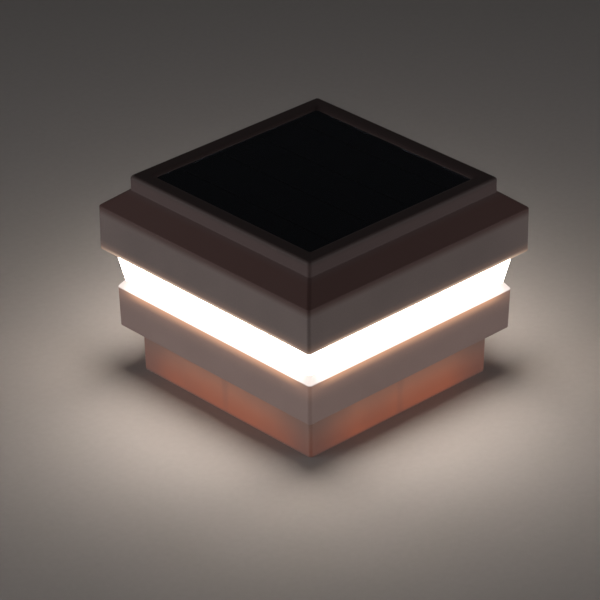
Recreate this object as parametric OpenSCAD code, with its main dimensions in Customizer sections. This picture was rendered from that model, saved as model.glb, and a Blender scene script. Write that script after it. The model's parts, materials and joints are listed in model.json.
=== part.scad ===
// Solar cap light for a square deck post.
// A two-piece base slips over the post. The head sits on it and lifts off: a moulded cap with a
// solar panel in its top and a frosted band of light round its foot, closed from below by a tray
// that holds the battery, the LEDs and the switch.
// Millimetres, +Z up, origin on the post's axis at the skirt's lower rim.

/* [Post and skirt] */
// Side of the square post under the cap
post_w = 127; // [110:1:140]
// Clearance between the post and the skirt on each side
post_gap = 0.9; // [0.7:0.1:2]
// Height of the skirt round the post
skirt_h = 28; // [20:1:45]
// Wall of the skirt at its foot
skirt_wall = 2.2; // [1.6:0.1:3]
// How far a skirt side leans out from foot to top
skirt_draft = 0.45; // [0.1:0.05:1]
// Width of a centring rib inside the skirt
rib_w = 1.6; // [1:0.1:4]
// Depth of a centring rib
rib_d = 0.5; // [0.2:0.1:0.6]
// Bare wall below each centring rib
rib_lead = 3; // [1:0.5:8]
// Thickness of the plate that rests on the post
stop_t = 2.4; // [1.8:0.1:4]
// Width of the plate's lip inside the skirt
stop_lip = 12.4; // [11:0.1:16]
// Radius of a post fixing hole
post_hole_r = 2.25; // [1.5:0.05:3]
// Distance of the fixing holes from the skirt's inner wall
post_hole_inset = 6.4; // [5:0.1:8]
// Spacing of the fixing holes along Y
post_hole_dy = 60; // [30:1:80]

/* [Base tier] */
// Height of the tier's upright wall
tier_h = 24; // [20:0.5:40]
// Overhang of the tier's foot beyond the skirt
tier_over = 8.65; // [6:0.05:14]
// How far a tier side leans out from foot to top
tier_draft = 0.6; // [0.1:0.05:1.5]
// Wall of the tier
tier_wall = 2.4; // [1.8:0.1:3]
// Rise of the sloped ledge over the wall
ledge_rise = 4; // [2:0.1:8]
// Run of the sloped ledge
ledge_run = 3; // [2:0.1:6]
// Width of the flat rim that the head sits on
rim_lip = 4.3; // [3.5:0.1:5]
// Rounding of the base's outer edges
edge_round = 0.5; // [0.2:0.1:0.8]
// Distance of the tier screws from the skirt's inner wall
tier_screw_inset = 4.4; // [4:0.1:6]
// Height of the cup over each tier screw's head
cup_h = 5; // [4:0.1:7]
// Radius of the cup
cup_r = 4.3; // [4:0.1:4.4]
// Radius of a tier screw boss
tier_boss_r = 4; // [3:0.1:4.4]
// Thickness of the boss ribs
gusset_t = 1.6; // [1:0.1:3]

/* [Light band] */
// Height of the band that shows under the head
band_show = 19.5; // [15:0.5:35]
// Flare of a lens side over the height that shows
band_flare = 3.7; // [2:0.1:4.5]
// How far the lens goes on up inside the head
lens_tuck = 8.5; // [6:0.1:10]
// Wall of the lens
lens_wall = 2.2; // [1.5:0.1:2.6]
// Thickness of the lens's inner flanges
flange_t = 2; // [1.4:0.1:3]
// Width of the lens's top flange
top_flange_w = 4; // [3.8:0.1:5]
// Width of the lens's foot flange
foot_flange_w = 6.9; // [5.5:0.1:7.2]

/* [Head] */
// Height of the upright fascia
fascia_h = 26; // [18:0.5:45]
// Overhang of the fascia beyond the tier's top
head_over = 6.2; // [5:0.1:12]
// Wall of the head
shell_wall = 2.5; // [1.8:0.1:3]
// Rise of the sloped shoulder
shoulder_rise = 10; // [7:0.5:18]
// Run of the sloped shoulder
shoulder_run = 12.4; // [10:0.1:14]
// Height of the upright wall round the panel
bezel_h = 8.5; // [7:0.1:14]
// Width of the flat top of that wall
bezel_flat = 7.5; // [6:0.1:10]
// Width of the shallow bevel down to the panel
bevel_w = 2.5; // [1:0.1:4]
// Drop of that bevel
bevel_drop = 1.2; // [0.5:0.1:1.4]
// Radius of the upright corners
corner_r = 2; // [1.5:0.1:6]
// Radius of the panel's corners
pocket_r = 1.5; // [0.5:0.1:3]
// Rounding of the bezel's top edge
top_round = 1.8; // [0.5:0.1:2]
// Rounding of the fascia's top edge
fascia_round = 1.2; // [0.3:0.1:2]
// Rounding of the fascia's lower edge
lower_round = 0.5; // [0.2:0.1:1]
// Rounding where the shoulder meets the bezel
cove_round = 0.8; // [0.2:0.1:2]
// Thickness of the wall that presses on the lens seal
seal_wall = 2; // [1.4:0.1:2.4]
// Distance of that wall from the inner edge of the lens's top flange
seal_inset = 1.1; // [0.8:0.1:1.3]
// Radius of a screw boss in the head
boss_r = 4; // [3:0.1:4.5]
// Distance of the bosses inside the tier's rim
boss_inset = 11.8; // [11.8:0.1:14]
// Depth of a screw's pilot hole in the head
pilot_depth = 16; // [13:0.5:24]

/* [Solar panel] */
// Depth of the panel's face below the top
panel_drop = 1.5; // [1.4:0.1:2.5]
// Gap between the panel and its pocket
panel_gap = 0.3; // [0.1:0.05:0.8]
// Thickness of the clear cover
cover_t = 1.4; // [0.8:0.1:2]
// Thickness of a cell
cell_t = 0.3; // [0.2:0.05:0.5]
// Thickness of a ribbon over the cells
ribbon_t = 0.1; // [0.05:0.05:0.2]
// Width of a ribbon
ribbon_w = 1.2; // [0.6:0.1:2]
// Thickness of the board under the cells
backboard_t = 1.4; // [0.8:0.1:2]
// Thickness of the foam ring under the board
panel_foam_t = 0.8; // [0.5:0.1:1.5]
// Width of that foam ring
panel_foam_w = 5; // [3:0.1:8]
// Columns of cells
cell_cols = 2; // [1:1:4]
// Rows of cells
cell_rows = 5; // [2:1:8]
// Gap between cells
cell_gap = 1.2; // [0.6:0.1:3]
// Bare margin round the cells
cell_margin = 3.5; // [2:0.1:8]
// Distance of the lead hole from the middle, towards the front
lead_y = 24; // [18:0.5:30]
// Gap between the panel's two leads
lead_gap = 1.3; // [0.4:0.1:1.6]
// Radius of the lead hole
lead_hole_r = 4.2; // [4:0.1:5]
// Thickness of the lead grommet's flange
grommet_t = 1.2; // [0.8:0.1:2]
// How far that flange stands out
grommet_lip = 1.5; // [0.8:0.1:3]

/* [Tray] */
// Thickness of the tray's plate
tray_t = 2.2; // [1.6:0.1:3]
// Clearance between moulded pieces that slip together
fit_gap = 0.3; // [0.2:0.05:0.5]
// Thickness of the seal between the tray and the lens
tray_seal_t = 0.8; // [0.5:0.1:1.5]
// Width of that seal
tray_seal_w = 2.9; // [1.5:0.1:3]
// Thickness of the seal on top of the lens
lens_seal_t = 1.2; // [0.6:0.1:2]
// How far that seal stands out beyond the wall on it
seal_proud = 0.3; // [0.1:0.05:0.35]
// Radius of a screw tower
tower_r = 4.5; // [4:0.1:4.5]
// Thickness of the tower's end under the head's boss
tower_seat = 8; // [5:0.5:12]
// Width of a locating tab
tab_w = 40; // [20:1:60]
// Depth of a locating tab
tab_h = 6; // [4:0.5:12]
// Thickness of a locating tab
tab_t = 2; // [1.4:0.1:3]

/* [LEDs] */
// Distance of the LED wall inside the towers' axes
led_wall_inset = 3; // [2.5:0.1:3.5]
// Thickness of the LED wall
led_wall_t = 1.6; // [1.2:0.1:2.4]
// Height of the LED wall over the plate
led_wall_h = 21.8; // [18:0.1:24]
// Distance of a strip's end from the LED wall's corner
strip_end = 6.5; // [5.5:0.1:14]
// Height of an LED strip
strip_h = 14; // [8:0.5:14]
// Thickness of an LED strip
strip_t = 1; // [0.6:0.1:1.6]
// Height of a strip's lower edge over the plate
strip_lift = 4; // [3:0.5:5]
// LEDs on a strip
led_count = 5; // [3:1:8]
// Spacing of the LEDs
led_pitch = 19; // [12:1:20]
// Length of an LED
led_l = 3.5; // [2:0.1:5]
// Height of an LED
led_w = 2.8; // [1.5:0.1:4]
// Thickness of an LED
led_t = 0.8; // [0.5:0.1:1.2]
// Radius of a peg that holds a strip
peg_r = 1; // [0.6:0.1:1.4]
// Distance of a peg from the strip's end
peg_inset = 3; // [2:0.5:4]

/* [Battery] */
// Diameter of the cell
cell_d = 18.3; // [14:0.1:20]
// Length of the cell with its raised end
cell_l = 65.2; // [49:0.1:68]
// Radius of the raised end
nub_r = 3; // [2:0.1:4]
// Height of the raised end
nub_h = 1; // [0.5:0.1:1.5]
// Space beside and over the cell
cell_side = 0.9; // [0.6:0.1:1.5]
// Gap between the cell and its saddles
saddle_gap = 0.15; // [0.1:0.05:0.3]
// Thickness of a saddle
saddle_t = 2; // [1:0.1:4]
// Distance between the saddles
saddle_pitch = 40; // [24:1:44]
// How far a saddle reaches below the cell's middle
saddle_wrap = 3; // [2:0.1:4]
// Depth of the crimped groove near the raised end
crimp_d = 0.5; // [0.3:0.1:0.8]
// Distance of that groove from the end
crimp_in = 2; // [1.5:0.1:4]
// Rounding of the cell's edges
cell_edge = 0.4; // [0.2:0.1:0.6]
// Wall of the battery box
box_wall = 2; // [1.4:0.1:2.2]
// Thickness of a contact plate
contact_t = 0.4; // [0.3:0.05:0.6]
// Side of a contact plate
contact_w = 13; // [10:0.1:15]
// Width of a contact's terminal
terminal_w = 3; // [2:0.1:4]
// Length of a terminal beyond the box
terminal_l = 2; // [1.5:0.1:3]
// Height of the plus contact's dimple
dimple_h = 1; // [0.6:0.1:1.5]
// Radius of the dimple
dimple_r = 2.2; // [1.5:0.1:3]
// Length of the battery spring as fitted
spring_len = 6; // [5:0.1:9]
// Turns of the battery spring
spring_turns = 3; // [3:1:4]
// Radius of the spring at its plate
spring_r0 = 5.6; // [4:0.1:6]
// Radius of the spring at the cell
spring_r1 = 3.8; // [3:0.1:5]
// Radius of the spring's wire
spring_wire_r = 0.35; // [0.25:0.05:0.4]

/* [Battery door] */
// Thickness of the door
door_t = 2.2; // [1.6:0.1:3]
// Radius of the door's corners
door_r = 1.5; // [0.5:0.1:2]
// Width of the seat round the battery's opening
seat_w = 3; // [2.4:0.1:4]
// Thickness of the door seal
door_seal_t = 0.6; // [0.4:0.1:1]
// Width of the door seal
door_seal_w = 1.8; // [1.2:0.1:2]
// Wall of the frame round the door
frame_wall = 2; // [1.4:0.1:3]
// Radius of a hinge knuckle
knuckle_r = 2; // [1.8:0.1:2.2]
// Distance of the hinge axis from the door's edge
hinge_out = 2.6; // [2.4:0.1:3]
// Opening between the door's edge and the plate on the hinge side
hinge_gap = 1.2; // [1.1:0.1:1.4]
// Distance of a hinge lug's middle from the door's middle
lug_x = 22; // [16:1:28]
// Width of a hinge lug
lug_w = 7; // [4:0.1:9]
// Radius of a hinge pin
pin_r = 1.2; // [0.9:0.05:1.3]
// Length of a hinge pin
pin_l = 3; // [2:0.1:4]
// Running clearance round a hinge pin
pin_gap = 0.08; // [0.04:0.01:0.1]
// Clearance between the knuckle and its pocket
pocket_gap = 0.6; // [0.6:0.1:1]
// Distance of the door screw from the door's edge
door_screw_out = 4; // [3.5:0.1:6]
// Radius of the door's screw tab
door_tab_r = 4.4; // [4:0.1:5]
// Height of the screw boss over the door
door_boss_h = 6.4; // [5.5:0.1:8]
// Clearance round the door screw as the door swings
swing_gap = 0.45; // [0.4:0.05:0.6]
// Spacing of the finger grooves
groove_pitch = 3; // [2:0.1:4]
// Radius of a finger groove
groove_r = 0.6; // [0.4:0.1:0.8]
// Length of a finger groove
groove_l = 13; // [8:1:20]

/* [Switch] */
// Distance of the switch inside the LED wall
switch_in = 18.9; // [15:0.1:20.9]
// Travel of the knob
switch_travel = 4; // [2:0.5:5]
// Length of the recess round the knob
recess_l = 18; // [16:0.5:20]
// Width of the recess round the knob
recess_w = 9; // [8:0.5:10]
// Depth of the recess
recess_d = 3.4; // [3:0.1:4]
// Side of the knob's stem
stem_w = 2.6; // [1.6:0.1:3]
// Length of the thumb pad
pad_l = 6; // [4:0.1:8]
// Width of the thumb pad
pad_w = 5; // [3:0.1:7]
// Thickness of the thumb pad
pad_t = 1.6; // [1:0.1:2]
// Spacing of the thumb pad's grooves
pad_groove_pitch = 1.5; // [1:0.1:2]
// Radius of those grooves
pad_groove_r = 0.4; // [0.2:0.05:0.5]
// Length of the switch's case
switch_l = 15; // [12:0.5:20]
// Width of the switch's case
switch_w = 7.6; // [6:0.1:10]
// Height of the switch's case
switch_h = 5.5; // [5:0.1:8]
// Depth of the stem inside the case
stem_in = 2; // [1:0.1:3]
// Thickness of the recess's roof
pan_t = 1.6; // [1:0.1:2]
// Spacing of the switch's terminals
pin_pitch = 5; // [3:0.1:6]
// Height of a terminal
pin_h = 2; // [1:0.1:3]
// Width of a terminal
pin_w = 1; // [0.6:0.1:1.4]

/* [Circuit] */
// Length of the board
board_l = 64; // [60:1:80]
// Width of the board
board_w = 23; // [22:0.5:26]
// Thickness of the board
board_t = 1.6; // [1:0.1:2]
// Gap between the board and the LED wall
board_gap = 5.9; // [3.4:0.1:7.9]
// Height of the standoffs under the board
standoff_h = 5; // [3:0.5:6]
// Radius of a standoff
standoff_r = 2.4; // [2:0.1:3]
// Distance of a standoff from the board's edges
standoff_inset = 4; // [3:0.1:4.5]
// Side of a connector
connector_l = 6; // [5:0.1:7]
// Depth of a connector
connector_w = 5; // [4:0.1:6]
// Height of a connector
connector_h = 6; // [5:0.1:7]
// Width of the wall beside a connector's key slot
connector_key = 1.6; // [1:0.1:2]
// Distance of the connectors from the board's edge
connector_inset = 1; // [0.5:0.1:2]
// Spacing of the connectors
connector_pitch = 12; // [9:0.5:13]
// Spacing of the two wires of a connector
wire_pitch = 2.5; // [2:0.1:3]
// Distance of the row of parts from the board's middle
parts_off = 3; // [2:0.1:5]
// Radius of the inductor
coil_r = 4.2; // [3:0.1:4.5]
// Height of the inductor
coil_h = 5.5; // [3:0.1:7]
// Thickness of the inductor's flanges
coil_lip = 0.9; // [0.6:0.1:1.4]
// Radius of the capacitor
can_r = 3.2; // [2:0.1:4]
// Height of the capacitor
can_h = 8; // [5:0.1:9]
// Rounding of the capacitor's rim
can_edge = 0.4; // [0.2:0.1:0.6]
// Length of the driver chip
chip_l = 5; // [3:0.1:7]
// Width of the driver chip
chip_w = 4; // [3:0.1:5]
// Thickness of the driver chip
chip_t = 1.5; // [1:0.1:2]
// Length of a chip's leg beyond its case
leg_l = 1; // [0.6:0.1:1.5]
// Thickness of a chip's leg
leg_t = 0.3; // [0.2:0.05:0.5]

/* [Screws and wires] */
// Radius of the large screws' shank
screw_r = 1.5; // [1.2:0.05:1.6]
// Radius of the large screws' head
screw_head_r = 2.9; // [2.4:0.1:3]
// Height of the large screws' head
screw_head_h = 2; // [1.4:0.1:2.2]
// Length of a tower screw
tray_screw_l = 20; // [16:1:22]
// Length of a tier screw
tier_screw_l = 13; // [9:1:14]
// Radius of the door screw's shank
door_screw_r = 1.2; // [0.9:0.05:1.3]
// Radius of the door screw's head
door_head_r = 2.3; // [1.8:0.1:2.6]
// Height of the door screw's head
door_head_h = 1.1; // [0.8:0.1:1.2]
// Length of the door screw
door_screw_l = 5.1; // [4:0.1:6]
// Radius of the board screws' shank
board_screw_r = 0.8; // [0.6:0.05:0.9]
// Radius of the board screws' head
board_head_r = 1.8; // [1.4:0.1:2]
// Height of the board screws' head
board_head_h = 1.2; // [0.8:0.1:1.5]
// Length of a board screw
board_screw_l = 5.6; // [4:0.1:6]
// Clearance of a shank in a pilot hole
pilot_gap = 0.03; // [0.02:0.01:0.1]
// Clearance of a shank in a through hole
shank_gap = 0.2; // [0.1:0.05:0.3]
// Radius of the larger wires
wire_r = 0.75; // [0.5:0.05:0.8]
// Radius of the LED wires
led_wire_r = 0.6; // [0.4:0.05:0.7]

/* [Hidden] */

// Colours
BODY = "#635b57";
FROST = "#fff4e4";
SEAL = "#4a4a4c";
STEEL = "#a9abad";
COPPER = "#b87345";
BOARD = "#2c6b3f";
WHITE = "#e9e7e2";
LIT = "#f6e7a6";
PANEL = "#0c0d12";
CELL = "#141c36";
WRAP = "#2f6fb3";
DARK = "#26282a";
RED = "#b5261e";
BLACK = "#1c1c1e";

// Resolution of the drawn curves
$fn = 48;
corner_steps = 6;
arc_steps = 4;
wire_sides = 8;
spring_sides = 6;
spring_rings = 8;

// How far a cutter runs past the face that it cuts
cut = 1;
// Least corner radius left inside a wall
min_r = 0.5;

// Heights of the outside
z_stop = skirt_h;
z_tier = z_stop + tier_h;
z_rim = z_tier + ledge_rise;
z_fascia = z_rim + band_show;
z_shoulder = z_fascia + fascia_h;
z_bezel = z_shoulder + shoulder_rise;
z_top = z_bezel + bezel_h;

// Half widths of the outside
skirt_in = post_w / 2 + post_gap;
skirt_half = skirt_in + skirt_wall;
skirt_top_half = skirt_half + skirt_draft;
tier_foot_half = skirt_top_half + tier_over;
tier_top_half = tier_foot_half + tier_draft;
rim_half = tier_top_half - ledge_run;
fascia_half = tier_top_half + head_over;
bezel_half = fascia_half - shoulder_run;

// Base
stop_half = skirt_in - stop_lip;
post_hole_x = skirt_in - post_hole_inset;
tier_screw_half = skirt_in - tier_screw_inset;
rim_open_half = rim_half - rim_lip;
ledge_slope = ledge_run / ledge_rise;
ledge_offset = tier_wall * sqrt(1 + ledge_slope * ledge_slope);
ledge_in_z = z_tier - (ledge_offset - tier_wall) / ledge_slope;
tier_in_r = max(corner_r - tier_wall, min_r);
cup_top = z_stop + cup_h;
tier_seat = cup_top - screw_head_h;
// The rim's inner corners are cut across, so that they carry the bosses
pad_line = 2 * tier_screw_half - tier_boss_r * sqrt(2) - tier_wall;
pad_c = pad_line - rim_open_half;

// Lens
lens_slope = band_flare / band_show;
z_lens = z_fascia + lens_tuck;
function lens_half(z) = rim_half + lens_slope * (z - z_rim);
lens_in_r = max(corner_r - lens_wall, min_r);
z_tray = z_rim + tray_t;
z_foot_flange = z_tray + tray_seal_t;
foot_flange_in = lens_half(z_foot_flange) - foot_flange_w;
z_top_flange = z_lens - flange_t;
top_flange_in = lens_half(z_lens) - top_flange_w;

// Head
shell_in = fascia_half - shell_wall;
shell_in_r = max(corner_r - shell_wall, min_r);
shoulder_slope = shoulder_rise / shoulder_run;
shoulder_drop = shell_wall * sqrt(1 + shoulder_slope * shoulder_slope);
function shoulder_in_z(half) = z_shoulder + (fascia_half - half) * shoulder_slope - shoulder_drop;
bezel_in = bezel_half - shell_wall;
rail_in = bezel_half - bezel_flat;
pocket_half = rail_in - bevel_w;
z_seal = z_lens + lens_seal_t;
seal_in = top_flange_in + seal_inset;
seal_out = seal_in + seal_wall;
seal_top = shoulder_in_z(seal_in) + min_r / 2;
boss_half = rim_half - boss_inset;
lead_x = wire_r + lead_gap / 2;

// Solar panel, from its face down to the pocket's floor
panel_half = pocket_half - panel_gap;
z_panel = z_top - panel_drop;
z_cover = z_panel - cover_t;
z_cells = z_cover - ribbon_t - cell_t;
z_backboard = z_cells - backboard_t;
z_pocket = z_backboard - panel_foam_t;
z_roof = z_pocket - shell_wall;
cell_field = 2 * (panel_half - cell_margin);
cell_dx = (cell_field + cell_gap) / cell_cols;
cell_dy = (cell_field + cell_gap) / cell_rows;
ribbon_dx = cell_dx / 4;

// Tray
tray_half = rim_half - lens_wall - fit_gap;
tray_seal_half = tray_half - fit_gap;
tab_half = rim_open_half - fit_gap;
z_tower_seat = z_lens - tower_seat;
led_wall_half = boss_half - led_wall_inset;
z_led_wall = z_tray + led_wall_h;
z_strip = z_tray + strip_lift;
z_led = z_strip + strip_h / 2;
strip_l = 2 * (led_wall_half - strip_end);
strip_face = led_wall_half + strip_t;
peg_x = strip_l / 2 - peg_inset;

// Battery box, with the cell along X
box_l = contact_t + spring_len + cell_l + dimple_h + contact_t;
box_w = cell_d + 2 * cell_side;
z_door = z_rim + door_t;
z_seat = z_door + door_seal_t;
z_cell = z_seat + cell_side + cell_d / 2;
z_box = z_cell + cell_d / 2 + cell_side;
z_box_top = z_box + box_wall;
spring_x = -box_l / 2 + contact_t;
cell_x = spring_x + spring_len;
terminal_z = z_cell + contact_w / 2 - terminal_w;
terminal_out = box_l / 2 + box_wall + terminal_l;

// Battery door
door_x = box_l / 2 + seat_w;
door_y = box_w / 2 + seat_w;
hinge_y = -door_y - hinge_out;
hinge_z = z_rim + knuckle_r;
lug_in = lug_x - lug_w / 2;
lug_out = lug_x + lug_w / 2;
pocket_back = hinge_y - knuckle_r - pocket_gap;
pocket_top = hinge_z + knuckle_r + pocket_gap;
door_screw_y = door_y + door_screw_out;
door_slack = (hinge_gap + fit_gap) / 2;
frame_x = door_x + fit_gap + frame_wall;
frame_y = door_y + hinge_gap + frame_wall;
frame_top = z_seat + box_wall;

// Switch
switch_y = led_wall_half - led_wall_t - switch_in;
pan_z = z_rim + recess_d;
pan_top = pan_z + pan_t;
slot_l = switch_travel + stem_w + 2 * fit_gap;
slot_w = stem_w + 2 * fit_gap;
knob_x = -switch_travel / 2;
pan_x = recess_l / 2 + frame_wall;
pan_y = recess_w / 2 + frame_wall;

// Circuit
board_y = led_wall_half - led_wall_t - board_gap - board_w / 2;
z_board = z_tray + standoff_h;
z_board_top = z_board + board_t;
standoff_x = board_l / 2 - standoff_inset;
standoff_y = board_w / 2 - standoff_inset;
connector_x = [for (i = [0:3]) (i - 3 / 2) * connector_pitch];
connector_y = -board_y + board_w / 2 - connector_w / 2 - connector_inset;
z_connector = z_board_top + connector_h;
parts_y = -board_y - parts_off;

// ---- Shared shapes ----

function unit(v) = v / norm(v);

// Points round a rectangle with rounded corners
function outline(hx, hy, r) = [
    for (q = [0:3], i = [0:corner_steps])
        let (a = 90 * (q + i / corner_steps), sx = q == 0 || q == 3 ? 1 : -1, sy = q < 2 ? 1 : -1)
            [sx * (hx - r) + r * cos(a), sy * (hy - r) + r * sin(a)]
];

// Triangles of a closed skin over a stack of rings with n points each
function skin(rings, n) = concat(
    [[for (i = [0:n - 1]) i]],
    [
        for (k = [0:rings - 2], i = [0:n - 1], half = [0:1])
            let (j = (i + 1) % n, low = k * n, high = low + n)
                half == 0 ? [low + i, high + i, high + j] : [low + i, high + j, low + j]
    ],
    [[for (i = [n - 1:-1:0]) (rings - 1) * n + i]]
);

// Square body through a list of levels, each [half width, corner radius, height]
module loft(levels) {
    points = [for (g = levels, p = outline(g[0], g[0], g[1])) [p.x, p.y, g[2]]];
    polyhedron(points = points, faces = skin(len(levels), 4 * (corner_steps + 1)), convexity = 6);
}

// Arc that takes the place of the corner b on the way from a to c
function corner_arc(a, b, c, r) =
    let (
        u = unit(a - b),
        v = unit(c - b),
        half = acos(u * v) / 2,
        centre = b + unit(u + v) * r / sin(half),
        s = b + u * r / tan(half) - centre,
        turn = (cross(u, v) < 0 ? 1 : -1) * (180 - 2 * half)
    )
    [
        for (i = [0:arc_steps])
            let (q = turn * i / arc_steps)
                centre + [s.x * cos(q) - s.y * sin(q), s.x * sin(q) + s.y * cos(q)]
    ];

// A path with each inner corner rounded by its own radius
function rounded(path, radii) = [
    for (i = [0:len(path) - 1])
        each (i == 0 || i == len(path) - 1 ? [path[i]]
            : corner_arc(path[i - 1], path[i], path[i + 1], radii[i - 1]))
];

// Square body whose side follows a profile of [half width, height]
module body(profile) {
    loft([for (p = profile) [p.x, corner_r, p.y]]);
}

// Flat square plate with rounded corners
module slab(z, h, half, r) {
    translate([0, 0, z])
        linear_extrude(h)
            polygon(outline(half, half, r));
}

// Flat rectangular plate with rounded corners
module plate(z, h, hx, hy, r) {
    translate([0, 0, z])
        linear_extrude(h)
            polygon(outline(hx, hy, r));
}

// Square ring
module ring(z, h, outer, inner, r) {
    difference() {
        slab(z, h, outer, r);
        slab(z - cut, h + 2 * cut, inner, max(r - (outer - inner), min_r));
    }
}

// Box from one corner to the opposite one
module block(a, b) {
    translate(a)
        cube(b - a);
}

// Upright round bar
module rod(z0, z1, r) {
    translate([0, 0, z0])
        cylinder(h = z1 - z0, r = r);
}

// Round bar along X
module rod_x(x0, x1, r) {
    translate([x0, 0, 0])
        rotate([0, 90, 0])
            cylinder(h = x1 - x0, r = r);
}

module at_corners(half) {
    for (q = [0:3])
        rotate(90 * q)
            translate([half, half, 0])
                children();
}

module at_sides() {
    for (q = [0:3])
        rotate(90 * q)
            children();
}

// Screw that points up, with its head's bearing face at z = 0 and a cross recess below
module screw(r, head_r, head_h, length) {
    difference() {
        union() {
            rod(-head_h, 0, head_r);
            rod(0, length - r, r);
            translate([0, 0, length - r])
                cylinder(h = r, r1 = r, r2 = r / 3);
        }
        for (q = [0, 90])
            rotate(q)
                block([-head_r / 2, -head_r / 9, -head_h - cut], [head_r / 2, head_r / 9, -head_h / 2]);
    }
}

// One pass of corner cutting along a path whose ends stay
function smooth(p) = concat(
    [p[0]],
    [
        for (i = [0:len(p) - 2], t = [0.25, 0.75])
            if (!(i == 0 && t < 0.5) && !(i == len(p) - 2 && t > 0.5))
                p[i] * (1 - t) + p[i + 1] * t
    ],
    [p[len(p) - 1]]
);

function tangents(p) = [
    for (i = [0:len(p) - 1]) unit(p[min(i + 1, len(p) - 1)] - p[max(i - 1, 0)])
];

// A direction square to each tangent, carried along the path without twisting
function carried(t) =
    let (first = unit(cross(t[0], abs(t[0].z) < 0.9 ? [0, 0, 1] : [1, 0, 0])))
    [
        for (
            i = 0, n = first;
            i < len(t);
            i = i + 1,
            n = i < len(t) ? unit(n - (n * t[i]) * t[i]) : n
        ) n
    ];

// Round tube along a path
module tube(path, r, sides) {
    t = tangents(path);
    n = carried(t);
    points = [
        for (i = [0:len(path) - 1], k = [0:sides - 1])
            let (a = 360 * k / sides)
                path[i] + r * (cos(a) * n[i] + sin(a) * cross(t[i], n[i]))
    ];
    polyhedron(points = points, faces = skin(len(path), sides), convexity = 6);
}

module wire(path, r) {
    tube(smooth(path), r, wire_sides);
}

// ---- Base ----

// Sleeve over the post, with the plate that rests on the post's end and closes the tier below
module post_skirt() {
    foot = [[skirt_half - 2 * edge_round, 0], [skirt_half, 0], [skirt_top_half, z_stop]];
    color(BODY)
        difference() {
            union() {
                body(rounded(foot, [edge_round]));
                slab(z_stop, stop_t, tier_foot_half - tier_wall - fit_gap, tier_in_r);
                at_corners(tier_screw_half)
                    rod(z_stop, cup_top, cup_r);
            }
            difference() {
                slab(-cut, z_stop + cut, skirt_in, min_r);
                at_sides()
                    translate([skirt_in - rib_d, -rib_w / 2, rib_lead])
                        cube([rib_d + cut, rib_w, z_stop]);
            }
            slab(z_stop - cut, cup_h + 2 * cut, stop_half, corner_r);
            for (x = [-1, 1], y = [-1, 1])
                translate([x * post_hole_x, y * post_hole_dy / 2, 0])
                    rod(z_stop - cut, z_stop + stop_t + cut, post_hole_r);
            at_corners(tier_screw_half) {
                rod(z_stop - cut, tier_seat, screw_head_r + shank_gap);
                rod(z_stop, cup_top + cut, screw_r + shank_gap);
            }
        }
}

// Wide tier with its sloped ledge and the flat rim that the head sits on
module tier_shell() {
    rim_under = z_rim - tier_wall;
    into_rim = z_rim - tier_wall / 2;
    rib_reach = rim_half - tier_screw_half - tier_wall / 2;
    rib_foot = cup_top + cup_h;
    o = rim_open_half;
    c = pad_c;
    side = [
        [tier_foot_half - 2 * edge_round, z_stop],
        [tier_foot_half, z_stop],
        [tier_top_half, z_tier],
        [rim_half, z_rim],
        [rim_half - 2 * edge_round, z_rim]
    ];
    color(BODY)
        difference() {
            union() {
                difference() {
                    body(rounded(side, [edge_round, edge_round, edge_round]));
                    loft([
                        [tier_foot_half - tier_wall, tier_in_r, z_stop - cut],
                        [tier_foot_half - tier_wall, tier_in_r, z_stop],
                        [tier_top_half - tier_wall, tier_in_r, ledge_in_z],
                        [rim_half - ledge_offset + ledge_slope * tier_wall, tier_in_r, rim_under]
                    ]);
                }
                at_corners(tier_screw_half) {
                    rod(cup_top, into_rim, tier_boss_r);
                    block([0, -gusset_t / 2, rib_foot], [rib_reach, gusset_t / 2, into_rim]);
                    block([-gusset_t / 2, 0, rib_foot], [gusset_t / 2, rib_reach, into_rim]);
                }
            }
            translate([0, 0, rim_under - cut])
                linear_extrude(tier_wall + 2 * cut)
                    polygon([[o, c], [c, o], [-c, o], [-o, c], [-o, -c], [-c, -o], [c, -o], [o, -c]]);
            at_corners(tier_screw_half)
                rod(cup_top - cut, tier_seat + tier_screw_l + cut, screw_r + pilot_gap);
        }
}

module tier_screws() {
    color(STEEL)
        at_corners(tier_screw_half)
            translate([0, 0, tier_seat])
                screw(screw_r, screw_head_r, screw_head_h, tier_screw_l);
}

// ---- Head ----

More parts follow.
